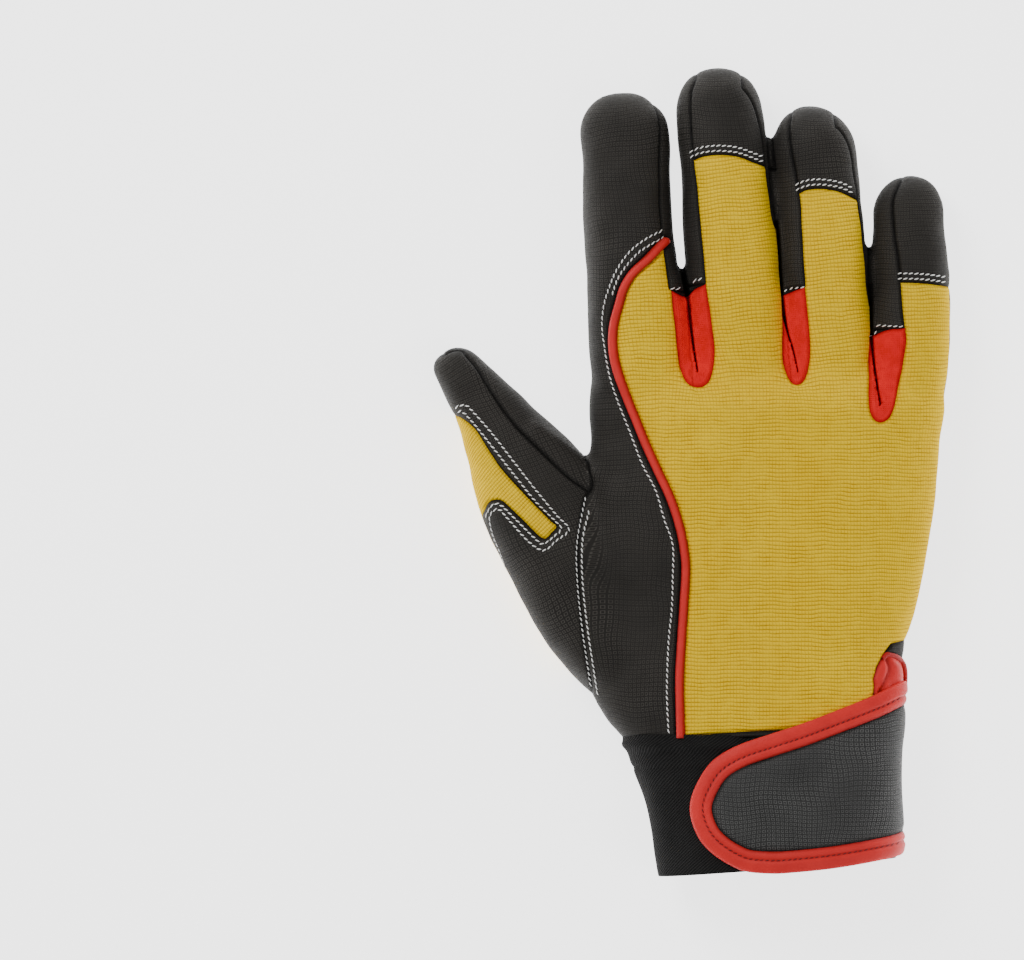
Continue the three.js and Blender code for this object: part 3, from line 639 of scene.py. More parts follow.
def panel_fields():
    """Panel name -> field, in the order in which they are cut."""
    fields = {}
    slit_lines = {name: palm_line(line, 1.5) for name, line in slits.items()}
    crests = {name: palm_points(sides[0])[0, 1] for name, sides in gussets.items()}
    for name, sides in gussets.items():
        top = joined(palm_points, sides)
        under = slit_lines[name][slit_lines[name][:, 1] < crests[name]]
        fields[f"{name}_gusset"] = either(
            region(top, mid_palm - scale, HIGH),
            region(band(under, np.array([2.8, 2.8]) * scale), LOW, mid_palm))
    piping = band(palm_line(piping_line), [piping_half_width] * 2)
    fields["back_piping"] = region(piping, mid_palm, HIGH)

    beside = {"middle": "middle_ring", "ring": "ring_little"}
    right_seam = [[.3, .3], [.86, .3], [.97, .28], [1.06, .25]]
    for name, slit in beside.items():
        height = finger_height * digits[name]["height"]
        gap = above_line(slit_lines[slit], crests[slit] - 6)
        outline = np.vstack([gap, finger_points(name, right_seam)[::-1]])
        wall = region(outline, panel_low_edges["strip_low"] * height, panel_low_edges["strip_high"] * height)
        fields[f"{name}_right_strip"] = both(wall, lambda p, y=crests[slit]: y - p[:, 1])
    for name, seams in cap_seams.items():
        low = panel_low_edges["cap"] * finger_height * digits[name]["height"]
        outline = joined(lambda shares: finger_points(name, shares),
                         [seams["edge"], seams["right_tip"][::-1], seams["left_tip"][::-1]])
        cap = region(outline, low, HIGH)
        reach = 0.56 * finger_width * digits[name]["width"]
        axis = finger_points(name, [[0, 0], [1.2, 0]])
        fields[f"{name}_cap"] = both(cap, lambda p, a=axis, r=reach: line_distance(p[:, :2], a) - r)
    # Strip, finger, slit beside it, end of the gusset's side that it starts at, seams
    strips = [(f"{name}_left_strip", name, slit, -1, [cap_seams[name]["left"], cap_seams[name]["left_tip"]])
              for name, slit in zip(cap_seams, slits)]
    strips.append(("index_side_strip", "index", "index_middle", 0, [index_strip_seam]))
    for strip, name, slit, end, seams in strips:
        foot = palm_points(gussets[slit][0])[end]
        gap = above_line(slit_lines[slit], foot[1] - 1)
        seam = above_line(np.vstack([finger_line(name, shares) for shares in seams]), foot[1])
        low = panel_low_edges["strip_low"] * finger_height * digits[name]["height"]
        fields[strip] = region(np.vstack([foot, seam, gap[::-1]]), low, HIGH)
    fields["vent_binding"] = region(palm_line(vent_outline), panel_low_edges["vent"] * palm_height, HIGH)

    def tongue(name, slit):
        foot = palm_points(gussets[slit][0])[-1]
        seam = above_line(finger_line(name, cap_seams[name]["left"]), foot[1])
        return np.vstack([foot, seam, finger_line(name, cap_seams[name]["edge"])])

    def opening(slit, top_share):
        line = slit_lines[slit]
        return line[line[:, 1] < top_share * palm_length][::-1]

    index_corner = finger_line("index", index_strip_seam[1:3])[::-1]
    back = np.vstack([
        palm_line(piping_line)[::-1], index_corner, palm_points(gussets["index_middle"][0])[:1],
        opening("index_middle", .7), tongue("middle", "index_middle"),
        opening("middle_ring", 1.02), tongue("ring", "middle_ring"),
        opening("ring_little", .94), tongue("little", "ring_little"),
        palm_points(back_wrist_edge), palm_line(back_bottom_edge),
    ])
    fields["back_panel"] = region(back, mid_palm, HIGH)

    mid_thumb = panel_low_edges["thumb"] * thumb_height
    far = palm_points([[-2, -.45], [-2, .8]])
    on_back = region(np.vstack([palm_line(thumb_back_edge), far]), mid_thumb, HIGH)
    under = region(np.vstack([joined(palm_points, thumb_palm_edge), far]), LOW, mid_thumb)
    fields["thumb_insert"] = either(
        region(joined(palm_points, insert_on_back), mid_thumb, HIGH),
        region(joined(thumb_points, insert_underneath), LOW, mid_thumb))
    fields["thumb_saddle"] = region(joined(palm_points, saddle_edge), LOW, mid_thumb)
    outside_ridge = region(np.vstack([thumb_line(thumb_ridge),
                                      thumb_points([[.4, .95], [-.5, .95], [-.5, -1], [1.1, -1]])]),
                           mid_thumb, HIGH)
    outside_under = region(np.vstack([thumb_line(thumb_under_seam),
                                      thumb_points([[-.6, .5], [-.6, -1], [1.1, -1]])]), LOW, mid_thumb)
    fields["thumb_outer_panel"] = either(both(on_back, outside_ridge), both(under, outside_under))
    fields["thumb_inner_panel"] = either(on_back, under)
    return fields


def vertex_normals(vertices, triangles):
    a, b, c = (vertices[triangles[:, k]] for k in range(3))
    face = np.cross(b - a, c - a)
    normals = np.zeros_like(vertices)
    for k in range(3):
        np.add.at(normals, triangles[:, k], face)
    return unit(normals)


def seam_distance(vertices, triangles, labels):
    """Distance of every vertex to the nearest seam, up to a few millimetres."""
    edges, edge_of = edge_list(triangles)
    low = np.full(len(edges), 10**6)
    high = np.full(len(edges), -1)
    for k in range(3):
        np.minimum.at(low, edge_of[:, k], labels)
        np.maximum.at(high, edge_of[:, k], labels)
    seam = edges[low != high]
    ends_a, ends_b = vertices[seam[:, 0]], vertices[seam[:, 1]]
    points = np.vstack([ends_a, ends_a * .5 + ends_b * .5])
    tree = KDTree(len(points))
    for i, point in enumerate(points):
        tree.insert(point, i)
    tree.balance()
    return np.array([tree.find(v)[2] for v in vertices])


def refine(vertices, triangles, labels, near, longest):
    """Halves the long edges of the triangles that are marked as near."""
    edges, edge_of = edge_list(triangles)
    length = np.linalg.norm(vertices[edges[:, 0]] - vertices[edges[:, 1]], axis=1)
    marked = np.zeros(len(edges), bool)
    marked[edge_of[near].ravel()] = True
    marked &= length > longest
    return split_edges(vertices, triangles, labels, edges, edge_of, marked, np.full(len(edges), .5))


def refine_near_seams(vertices, triangles, labels, reach, longest):
    near = seam_distance(vertices, triangles, labels)[triangles].min(1) < reach
    return refine(vertices, triangles, labels, near, longest)


# ---- Meshes from arrays
def to_mesh(name, vertices, faces, uv=None, attributes=None):
    mesh = bpy.data.meshes.new(name)
    faces = np.asarray(faces)
    width = faces.shape[1]
    mesh.vertices.add(len(vertices))
    mesh.vertices.foreach_set("co", (np.asarray(vertices) * MM).ravel())
    mesh.loops.add(faces.size)
    mesh.loops.foreach_set("vertex_index", faces.ravel())
    mesh.polygons.add(len(faces))
    mesh.polygons.foreach_set("loop_start", np.arange(0, faces.size, width))
    mesh.update(calc_edges=True)
    if uv is not None:
        layer = mesh.uv_layers.new(name="weave")
        layer.data.foreach_set("uv", (uv[faces.ravel()] * MM).ravel())
    for key, values in (attributes or {}).items():
        attribute = mesh.attributes.new(key, "FLOAT", "POINT")
        attribute.data.foreach_set("value", values)
    mesh.validate()
    piece = bpy.data.objects.new(name, mesh)
    bpy.context.collection.objects.link(piece)
    for polygon in mesh.polygons:
        polygon.use_smooth = True
    return piece


def calmed(vectors, edges, rounds):
    """Unit vectors evened out along the edges of the mesh."""
    a, b = edges.T
    for _ in range(rounds):
        vectors = unit(np.column_stack([
            vectors[:, k] + np.bincount(a, vectors[b, k], len(vectors))
            + np.bincount(b, vectors[a, k], len(vectors)) for k in range(3)]))
    return vectors


def shell(name, points, faces, normals, thickness, uv, attributes):
    """Closed piece of cloth: outer skin, inner skin and walls along its open edges."""
    count = len(points)
    ends = np.concatenate([faces[:, [0, 1]], faces[:, [1, 2]], faces[:, [2, 0]]])
    open_edge = ~np.isin(ends[:, 0] * count + ends[:, 1], ends[:, 1] * count + ends[:, 0])
    a, b = ends[open_edge].T
    walls = np.vstack([np.column_stack([b, a, a + count]), np.column_stack([b, a + count, b + count])])
    whole = np.vstack([points, points - normals * thickness])
    twice = {key: np.tile(value, 2) for key, value in attributes.items()}
    return to_mesh(name, whole, np.vstack([faces, faces[:, ::-1] + count, walls]), np.tile(uv, (2, 1)), twice)


def own_frame(vertices, root):
    """Positions in the frame of a digit, kept in millimetres and counted from its root."""
    lean = np.radians(root["lean"])
    x = vertices[:, 0] - root["x"] * palm_width
    y = vertices[:, 1] - root["y"] * palm_length
    across = x * np.cos(lean) + y * np.sin(lean)
    return across + root["x"] * palm_width, y * np.cos(lean) - x * np.sin(lean) + root["y"] * palm_length


def unrolled(off, z, half_width, half_height, middle):
    """Length round a flattened tube, counted from the middle of its top."""
    core = max(half_width - half_height, 0)
    turn = np.arctan2(np.maximum(np.abs(off) - core, 0), z - middle)
    arc = np.minimum(np.abs(off), core) + half_height * turn
    below = (z < middle) & (np.abs(off) < core)
    arc = np.where(below, 2 * core + half_height * np.pi - np.abs(off), arc)
    return np.sign(off) * arc


def weave_coordinates(vertices, normals, on_thumb=False):
    """Flat cloth coordinates: round the palm or the digit, and along it."""
    z = vertices[:, 2]
    if on_thumb:
        x, y = own_frame(vertices, thumb_root)
        middle = thumb_root["x"] * palm_width + 3 * scale
        round_thumb = unrolled(x - middle, z, 16 * scale, 13 * scale, 0.45 * thumb_height)
        return np.column_stack([middle + round_thumb, y])
    u = unrolled(vertices[:, 0], z, palm_width / 2, palm_height / 2, 0.45 * palm_height)
    v = vertices[:, 1].copy()
    best = np.full(len(u), 1e9)
    round_palm = u.copy()
    for root in digits.values():
        across, along = own_frame(vertices, root)
        home = root["x"] * palm_width
        off = across - home
        share = np.clip((vertices[:, 1] - root["y"] * palm_length) / (30 * scale), 0, 1)
        share = share * share * (3 - 2 * share)
        round_digit = home + unrolled(off, z, finger_width / 2, 13 * scale, 0.45 * finger_height)
        closer = np.abs(off) < best
        best = np.where(closer, np.abs(off), best)
        u = np.where(closer, round_palm * (1 - share) + round_digit * share, u)
        v = np.where(closer, vertices[:, 1] * (1 - share) + along * share, v)
    ny = np.clip(normals[:, 1], -0.93, 0.93)
    return np.column_stack([u, v + 11 * scale * (np.arcsin(ny) - ny)])


def settle_islands(triangles, labels, least=14):
    """Gives specks of a few triangles the label of the panel round them."""
    edges, edge_of = edge_list(triangles)
    order = np.argsort(edge_of.ravel(), kind="stable")
    owner, edge = order // 3, edge_of.ravel()[order]
    twins = np.flatnonzero(edge[:-1] == edge[1:])
    pairs = np.column_stack([owner[twins], owner[twins + 1]])
    group = np.arange(len(triangles))
    same = pairs[labels[pairs[:, 0]] == labels[pairs[:, 1]]]
    for _ in range(400):
        low = np.minimum(group[same[:, 0]], group[same[:, 1]])
        before = group.copy()
        np.minimum.at(group, same[:, 0], low)
        np.minimum.at(group, same[:, 1], low)
        group = group[group]
        if (group == before).all():
            break
    size = np.bincount(group, minlength=len(triangles))[group]
    for a, b in pairs[labels[pairs[:, 0]] != labels[pairs[:, 1]]]:
        if size[a] < least <= size[b]:
            labels[a] = labels[b]
        elif size[b] < least <= size[a]:
            labels[b] = labels[a]
    return labels


def fold_line(name):
    line = palm_line(slits[name], 1.0)
    return line[line[:, 1] < slit_ends[name] * palm_length]


def score_folds(*sheet):
    """Gives the skin edges along the middle and both sides of the folds between touching fingers."""
    for name in slits:
        line = fold_line(name)
        whole = band(line, np.array(slit_half_widths[name]) * scale)
        for outline in (whole, np.vstack([line, whole[-len(line):]])):
            vertices, triangles, labels = cut_region(*sheet, region(outline, LOW, HIGH), FOLD)
            sheet = vertices, triangles, np.where(labels == FOLD, 0, labels)
    return sheet


def fold_depth(vertices):
    """How deep every vertex lies in a fold between fingers, from 0 to 1."""
    depth = np.zeros(len(vertices))
    for name in slits:
        off, share = nearest_on_line(vertices[:, :2], fold_line(name))
        foot, end = np.array(slit_half_widths[name]) * scale
        depth = np.maximum(depth, 1 - off / (foot + (end - foot) * share))
    return depth


def refine_near_fields(vertices, triangles, labels, fields, reach, longest):
    """Makes the triangles small where the panels will be cut."""
    nearest = np.full(len(vertices), 99.0)
    for field in fields.values():
        nearest = np.minimum(nearest, np.abs(field(vertices)))
    near = (nearest[triangles].min(1) < reach) & (labels == 0)
    return refine(vertices, triangles, labels, near, longest)


def smooth_noise(points, size, seed):
    """Soft random field of about -1..1, its bumps about size millimetres wide."""
    local = np.random.default_rng(seed)
    value = np.zeros(len(points))
    for _ in range(14):
        way = local.normal(size=3)
        way *= local.uniform(0.6, 1.4) * 2 * np.pi / (np.linalg.norm(way) * size * 2)
        value += np.sin(points @ way + local.uniform(0, 6.28))
    return value / 3.7


vertices, triangles = hand_form()
sheet = cut_region(vertices, triangles, np.zeros(len(triangles), int), lambda p: p[:, 1] - wrist_y, GONE)
fields = panel_fields()
sheet = score_folds(*refine_near_fields(*sheet, fields, 1.3 * scale, 0.9 * scale))
panel_names = ["palm_leather", *fields]
for number, field in enumerate(fields.values(), 1):
    sheet = cut_region(*sheet, field, number)
vertices, triangles, labels = sheet
for _ in range(3):
    labels = settle_islands(triangles, labels)
vertices, triangles, labels = refine_near_seams(vertices, triangles, labels, 1.0 * scale, 0.5 * scale)

# ---- Relief: seams drawn in, panels slightly padded, piping raised, soft folds
edges, _ = edge_list(triangles)
normals = calmed(vertex_normals(vertices, triangles), edges, 3)
distance = seam_distance(vertices, triangles, labels)
piping_centre = palm_line(piping_line)
on_back = vertices[:, 2] > mid_palm
to_piping = np.where(on_back, line_distance(vertices[:, :2], piping_centre), 99)
rise = pillow_rise * (1 - hump(distance, pillow_reach))
rise -= groove_depth * np.clip(0.25 + np.abs(normals[:, 2]), 0, 1) * hump(distance, groove_reach)
dome = np.sqrt(np.clip(1 - (to_piping / piping_half_width) ** 2, 0, 1))
rise = np.where(to_piping < piping_half_width, (piping_rise + groove_depth) * dome - groove_depth, rise)
soft_folds = 0.28 * smooth_noise(vertices, 16 * scale, 3) + 0.1 * smooth_noise(vertices, 6 * scale, 5)
rise += soft_folds * scale
deep = np.clip(fold_depth(vertices), 0, 1)
rise = np.where(deep > 0, np.minimum(rise, 0), rise)


def ridge(line, width, height):
    """Rounded ridge or, with a negative height, a crease along a line on the back."""
    near = line_distance(vertices[:, :2], palm_line(line))
    return np.where(on_back, height * scale * hump(near, width * scale), 0)


rise += ridge(thumb_fold, 2.6, 1.5) + ridge(vent_crease, 0.8, -1.3)
in_vent = -signed_distance(vertices[:, :2], palm_line(vent_outline))
rise += np.where(on_back & (in_vent > 0), scale * 0.8 * hump(in_vent / scale - 2.6, 1.4), 0)
# Painted shade: the vent crease counts as a seam, so the looks paint it darker.
crease = line_distance(vertices[:, :2], palm_line(vent_crease))
distance = np.where(on_back, np.minimum(distance, crease), distance)
vertices = vertices + normals * rise[:, None]
vertices[:, 2] = np.maximum(vertices[:, 2], 0)
fold_bottom = np.where(on_back, 0.42, 0.3) * palm_height
vertices[:, 2] += (fold_bottom - vertices[:, 2]) * deep
# Painted shade: the seam distance falls to 0 in the folds between fingers, so the looks paint the creases
# darker.
distance = distance * (1 - deep)
normals = vertex_normals(vertices, triangles)
calm_normals = calmed(normals, edges, 12)
inward_normals = calmed(normals, edges, 3)


def panel_piece(name, number):
    used = np.flatnonzero(labels == number)
    index, faces = np.unique(triangles[used], return_inverse=True)
    faces = faces.reshape(-1, 3)
    points = vertices[index]
    uv = weave_coordinates(points, calm_normals[index], name.startswith("thumb"))
    if name == "thumb_insert":
        uv = 1.25 * np.column_stack([0.93 * uv[:, 0] + 0.36 * uv[:, 1], 0.93 * uv[:, 1] - 0.36 * uv[:, 0]])
    end_facing = np.clip((np.abs(calm_normals[index, 1]) - 0.68) / 0.2, 0, 1)
    # The seam attribute is the distance to seams and creases; the looks paint shade where it is small.
    return shell(f"{name}_skin", points, faces, inward_normals[index], skin_thickness, uv,
                 {"seam": distance[index], "tip": end_facing})


skin = {name: panel_piece(name, number) for number, name in enumerate(panel_names)}
kept = labels != GONE
surface = BVHTree.FromPolygons((vertices * MM).tolist(), triangles[kept].tolist())


# ---- Cuff
def cuff_piece():
    rings = np.array(cuff_rings())
    centre = rings.mean(1, keepdims=True)
    out = rings - centre
    out[:, :, 1] = 0
    out /= np.linalg.norm(out, axis=2, keepdims=True)
    y = rings[:, :, 1]
    ridge = 1.1 * hump(y - wrist_y + 2.6 * scale, 1.5 * scale)
    hem = 0.5 * hump(y - y[-1], 3.0 * scale)
    stitch_line = 0.45 * hump(y - wrist_y + 9.5 * scale, 0.8 * scale)
    folds = 0.5 * smooth_noise(rings.reshape(-1, 3) * [1, .35, 1], 9 * scale, 11).reshape(y.shape)
    rings = rings + out * ((ridge + hem - stitch_line + folds) * scale)[..., None]
    rings[:, :, 2] = np.maximum(rings[:, :, 2], 0)
    points, quads = ring_loft(rings)
    around = np.linalg.norm(np.diff(rings[30], axis=0, append=rings[30][:1]), axis=1).cumsum()
    u = np.tile(np.concatenate([[0], around[:-1]]), len(rings))
    uv = np.column_stack([u, points[:, 1]])
    return to_mesh("cuff_knit", points, quads, uv, {"seam": np.abs(points[:, 1] - wrist_y)})


cuff = cuff_piece()
modify(cuff, "SOLIDIFY", thickness=1.8 * scale * MM, offset=-1.0, use_rim=True,
       use_quality_normals=False)


# ---- Strap over the wrist and cuff
def wrist_section(y, count, grow):
    """Section of the wrist at y, grown all round."""
    if y > wrist_y:
        across, up = section(palm_outline, y / palm_length, palm_width, palm_height, count, grow)
    else:
        across, up = section(cuff_outline, (cuff_top_y - y) / cuff_length, cuff_width, cuff_height, count, grow)
    return np.column_stack([across, np.full(count, y), up])


strap_line = smooth_line(cuff_points(strap_outline), 1.0)


def strap_pieces():
    outline = strap_line
    ys = np.arange(outline[:, 1].min() - 2, outline[:, 1].max() + 2, 0.9 * scale)
    rings = np.array([wrist_section(y, 190, 2.1 * scale) for y in ys[::-1]])
    kernel = np.hanning(15)
    kernel /= kernel.sum()
    padded = np.concatenate([rings[:1].repeat(7, 0), rings, rings[-1:].repeat(7, 0)])
    for axis in (0, 2):
        for column in range(rings.shape[1]):
            rings[:, column, axis] = np.convolve(padded[:, column, axis], kernel, "valid")
    points, quads = ring_loft(rings)
    faces = halved(quads)
    low = panel_low_edges["strap"] * cuff_height
    marks = np.zeros(len(faces), int)
    points, faces, marks = cut_region(points, faces, marks, lambda p: -region(outline, low, HIGH)(p), GONE)
    whole_height = region(outline, LOW, HIGH)
    inner = lambda p: np.minimum(whole_height(p), 5) + binding_width
    points, faces, marks = cut_region(points, faces, marks, inner, 1)
    points, faces, marks = refine_near_seams(points, faces, marks, 7 * scale, 0.7 * scale)
    out = vertex_normals(points, faces)
    if (out[:, 2] * np.sign(points[:, 2] - 15)).mean() < 0:
        faces = faces[:, ::-1]
        out = -out
    inside = -signed_distance(points[:, :2], outline)
    share = np.clip(inside / binding_width, 0, 1)
    bump = 1.0 * np.sqrt(np.clip(1 - ((share - .5) / .5) ** 2, 0, 1)) - 0.3
    bump -= 0.55 * hump(inside - 0.6 * binding_width, 0.6 * scale)
    core_rise = 0.55 * (1 - hump(inside - binding_width, 1.5 * scale)) - 0.15
    rise = np.where(inside < binding_width, bump, core_rise) * scale
    rise += 0.25 * scale * smooth_noise(points, 14 * scale, 17)
    dent = hump(points[:, 0] + 6 * scale + 0.1 * points[:, 1], 4 * scale)
    rise -= np.where(inside > binding_width, 0.7 * scale * dent, 0)
    points = points + out * rise[:, None]
    made = {}
    for mark, name in ((1, "strap_leather"), (0, "strap_edge_binding")):
        index, local = np.unique(faces[marks == mark], return_inverse=True)
        local = local.reshape(-1, 3)
        uv = weave_coordinates(points[index], out[index])
        from_edge = inside[index]
        # Painted shade: seam here is the distance to the binding's inner edge and, on the binding, to its
        # stitch groove; the looks paint both darker.
        groove = np.abs(from_edge - 0.6 * binding_width) + 0.35 * scale
        edge = np.minimum(np.abs(from_edge - binding_width), groove if mark == 0 else 99)
        made[name] = shell(name, points[index], local, out[index], 1.9 * scale, uv, {"seam": edge})
    tree = BVHTree.FromPolygons((points * MM).tolist(), faces[marks != GONE].tolist())
    return made, tree


strap, strap_surface = strap_pieces()


# ---- Stitches
stitch_rows = {
    "piping_outer": [[-.294, .897], [-.338, .875], [-.383, .842], [-.418, .798], [-.441, .752], [-.459, .697],
                     [-.465, .643], [-.459, .588], [-.444, .506], [-.421, .438], [-.386, .355], [-.347, .26],
                     [-.309, .191], [-.283, .109], [-.259, .041], [-.259, -.055], [-.262, -.137],
                     [-.271, -.219], [-.276, -.355], [-.271, -.47]],
    "piping_inner": [[-.288, .88], [-.324, .86], [-.36, .837], [-.397, .799], [-.42, .765], [-.437, .72]],
    "thumb_base": [[-.515, .167], [-.539, .052], [-.539, -.052], [-.524, -.186], [-.494, -.366]],
    "thumb_base_inner": [[-.505, .13], [-.523, .052], [-.523, -.052], [-.508, -.186], [-.478, -.366]],
    "insert_inner": [[-.898, .4], [-.878, .406], [-.848, .38], [-.786, .308], [-.724, .234], [-.662, .162],
                     [-.606, .11], [-.585, .087], [-.6, .07], [-.637, .045], [-.662, .059], [-.724, .116],
                     [-.761, .149], [-.78, .153], [-.795, .141], [-.806, .12]],
    "insert_outer": [[-.892, .418], [-.869, .423], [-.848, .409], [-.786, .343], [-.724, .268], [-.662, .194],
                     [-.6, .124], [-.563, .084], [-.6, .053], [-.637, .027], [-.681, .051], [-.73, .101],
                     [-.767, .138], [-.783, .134], [-.795, .115], [-.786, .07], [-.765, .022],
                     [-.742, -.038]],
    "index_tack": [[-.258, .741], [-.221, .741]],
    "index_tack_right": [[-.209, .757], [-.165, .769]],
    "ring_tack": [[.062, .727], [.085, .74], [.13, .744]],
    "little_tack": [[.325, .612], [.345, .625]],
    "little_tack_right": [[.347, .64], [.42, .637]],
}
palm_rows = {
    "crescent": [[-.436, .221], [-.383, .224], [-.33, .202], [-.271, .167], [-.218, .12], [-.168, .044],
                 [-.138, -.038], [-.112, -.126], [-.094, -.216], [-.091, -.284], [-.118, -.353],
                 [-.168, -.407], [-.227, -.446], [-.3, -.462], [-.374, -.451], [-.444, -.402]],
    "saddle": [[-.338, .057], [-.315, -.011], [-.271, -.093], [-.218, -.175], [-.168, -.243], [-.132, -.312]],
    "insert_inner": [[-.859, .336], [-.506, -.306]],
    "insert_outer": [[-.786, .208], [-.471, -.312]],
}


def resample(line, step):
    line = np.asarray(line, float)
    length = np.concatenate([[0], np.linalg.norm(np.diff(line, axis=0), axis=1).cumsum()])
    at = np.arange(0, length[-1], step)
    return np.column_stack([np.interp(at, length, line[:, k]) for k in range(line.shape[1])])


def offset_line(line, amount):
    """Line moved sideways, to the left of its own way when the amount is positive."""
    return line + amount * sideways(line)[1]


def landed(tree, xy, side):
    """Point and normal where an upright ray meets the surface, in millimetres."""
    start = Vector((xy[0] * MM, xy[1] * MM, 0.08 * side))
    place, normal, _, _ = tree.ray_cast(start, Vector((0, 0, -side)))
    if place is None:
        return None, None
    normal = np.array(normal)
    return np.array(place) / MM, normal if normal[2] * side > 0 else -normal


def stitch_template():
    """One thread loop along +X, half a unit to each side, as vertices and faces."""
    rings, around = 5, 6
    t = np.linspace(-1, 1, rings)
    radius = np.maximum(1 - np.abs(t) ** 3, 0.12) ** 0.5
    angle = np.linspace(0, 2 * np.pi, around, endpoint=False)
    points = np.array([[x / 2, r * np.cos(a), r * np.sin(a)] for x, r in zip(t, radius) for a in angle])
    _, quads = ring_loft(points.reshape(rings, around, 3))
    faces = halved(quads)
    caps = [[0, k + 1, k] for k in range(1, around - 1)]
    last = (rings - 1) * around
    caps += [[last, last + k, last + k + 1] for k in range(1, around - 1)]
    return points, np.vstack([faces, caps])


loop_points, loop_faces = stitch_template()


def stitches(name, rows, length=stitch_length, pitch=stitch_pitch, radius=stitch_radius):
    """All loops of some stitch rows as one piece; a row is (line, surface tree, side)."""
    points, faces = [], []
    for line, tree, side in rows:
        at = resample(line, pitch)
        way = np.gradient(at, axis=0) if len(at) > 1 else np.array([[1.0, 0.0]])
        for xy, along in zip(at, way):
            along = along / max(np.linalg.norm(along), 1e-9) * length / 2
            a, _ = landed(tree, xy - along, side)
            b, _ = landed(tree, xy + along, side)
            middle, normal = landed(tree, xy, side)
            if a is None or b is None or middle is None or np.linalg.norm(a - b) > 2.2 * length:
                continue
            x = b - a
            reach = np.linalg.norm(x)
            x /= reach
            y = np.cross(normal, x)
            y /= np.linalg.norm(y)
            z = np.cross(x, y)
            turn = stitch_slant * side + rng.normal(0, 0.05)
            x, y = x * np.cos(turn) + y * np.sin(turn), y * np.cos(turn) - x * np.sin(turn)
            shape = loop_points * [reach, radius, radius * 0.8]
            bow = 0.12 * scale * (1 - (loop_points[:, 0] * 2) ** 2)
            place = (a + b + middle) / 3
            world = place + shape[:, :1] * x + shape[:, 1:2] * y + (shape[:, 2:] + bow[:, None]) * z
            faces.append(loop_faces + len(points) * len(loop_points))
            points.append(world)
    return to_mesh(name, np.vstack(points), np.vstack(faces))


def cap_rows(name):
    edge = np.array(cap_seams[name]["edge"])
    length = finger_length * digits[name]["length"]
    rows = []
    for rise_mm in (1.2 * scale, 1.2 * scale + row_spacing):
        line = finger_line(name, edge + [rise_mm / length, 0])
        axis = finger_points(name, [[0, 0], [1.2, 0]])
        near = line_distance(line, axis) < 0.47 * finger_width * digits[name]["width"]
        rows.append(line[near])
    return rows


white_rows = [(palm_line(line), surface, 1) for line in stitch_rows.values()]
for name in cap_seams:
    white_rows += [(line, surface, 1) for line in cap_rows(name)]
palm_side = [(palm_line(line), surface, -1) for line in palm_rows.values()]
palm_side += [(offset_line(palm_line(palm_rows[row]), amount * scale), surface, -1)
              for row, amount in (("crescent", -2.2), ("saddle", 2.2))]
back_stitches = stitches("back_stitches", white_rows)
palm_stitches = stitches("palm_stitches", palm_side)
binding_row = offset_line(strap_line, 0.6 * binding_width)
binding_row = binding_row[signed_distance(binding_row, strap_line) < -0.5 * binding_width]
strap_stitches = stitches("strap_stitches", [(binding_row, strap_surface, 1)], radius=0.15 * scale)


# ---- Bound edge of the vent
def tube(name, line, radius, around=12):
    line = np.asarray(line)
    way = unit(np.gradient(line, axis=0))
    side = unit(np.cross(way, [0, 0, 1.0]))
    up = np.cross(side, way)
    angle = np.linspace(0, 2 * np.pi, around, endpoint=False)
    rings = [p + radius * (np.cos(angle)[:, None] * s + np.sin(angle)[:, None] * u)
             for p, s, u in zip(line, side, up)]
    return to_mesh(name, *ring_loft(rings))


vent_line = palm_line(vent_outline[3:11] + [[.427, -.35]], 0.5)
vent_path = []
for xy in vent_line:
    place, normal = landed(surface, xy, 1)
    if place is None or (vent_path and place[2] < vent_path[-1][2] - 1.5 * scale):
        place, normal = np.array([xy[0], xy[1], vent_path[-1][2] - 0.5 * scale]), np.zeros(3)
    vent_path.append(place + normal * 0.3 * scale)
vent_rim = tube("vent_rim", vent_path, 0.8 * scale)


# ---- Materials
def shade(color, share):
    return tuple(c * share for c in color)


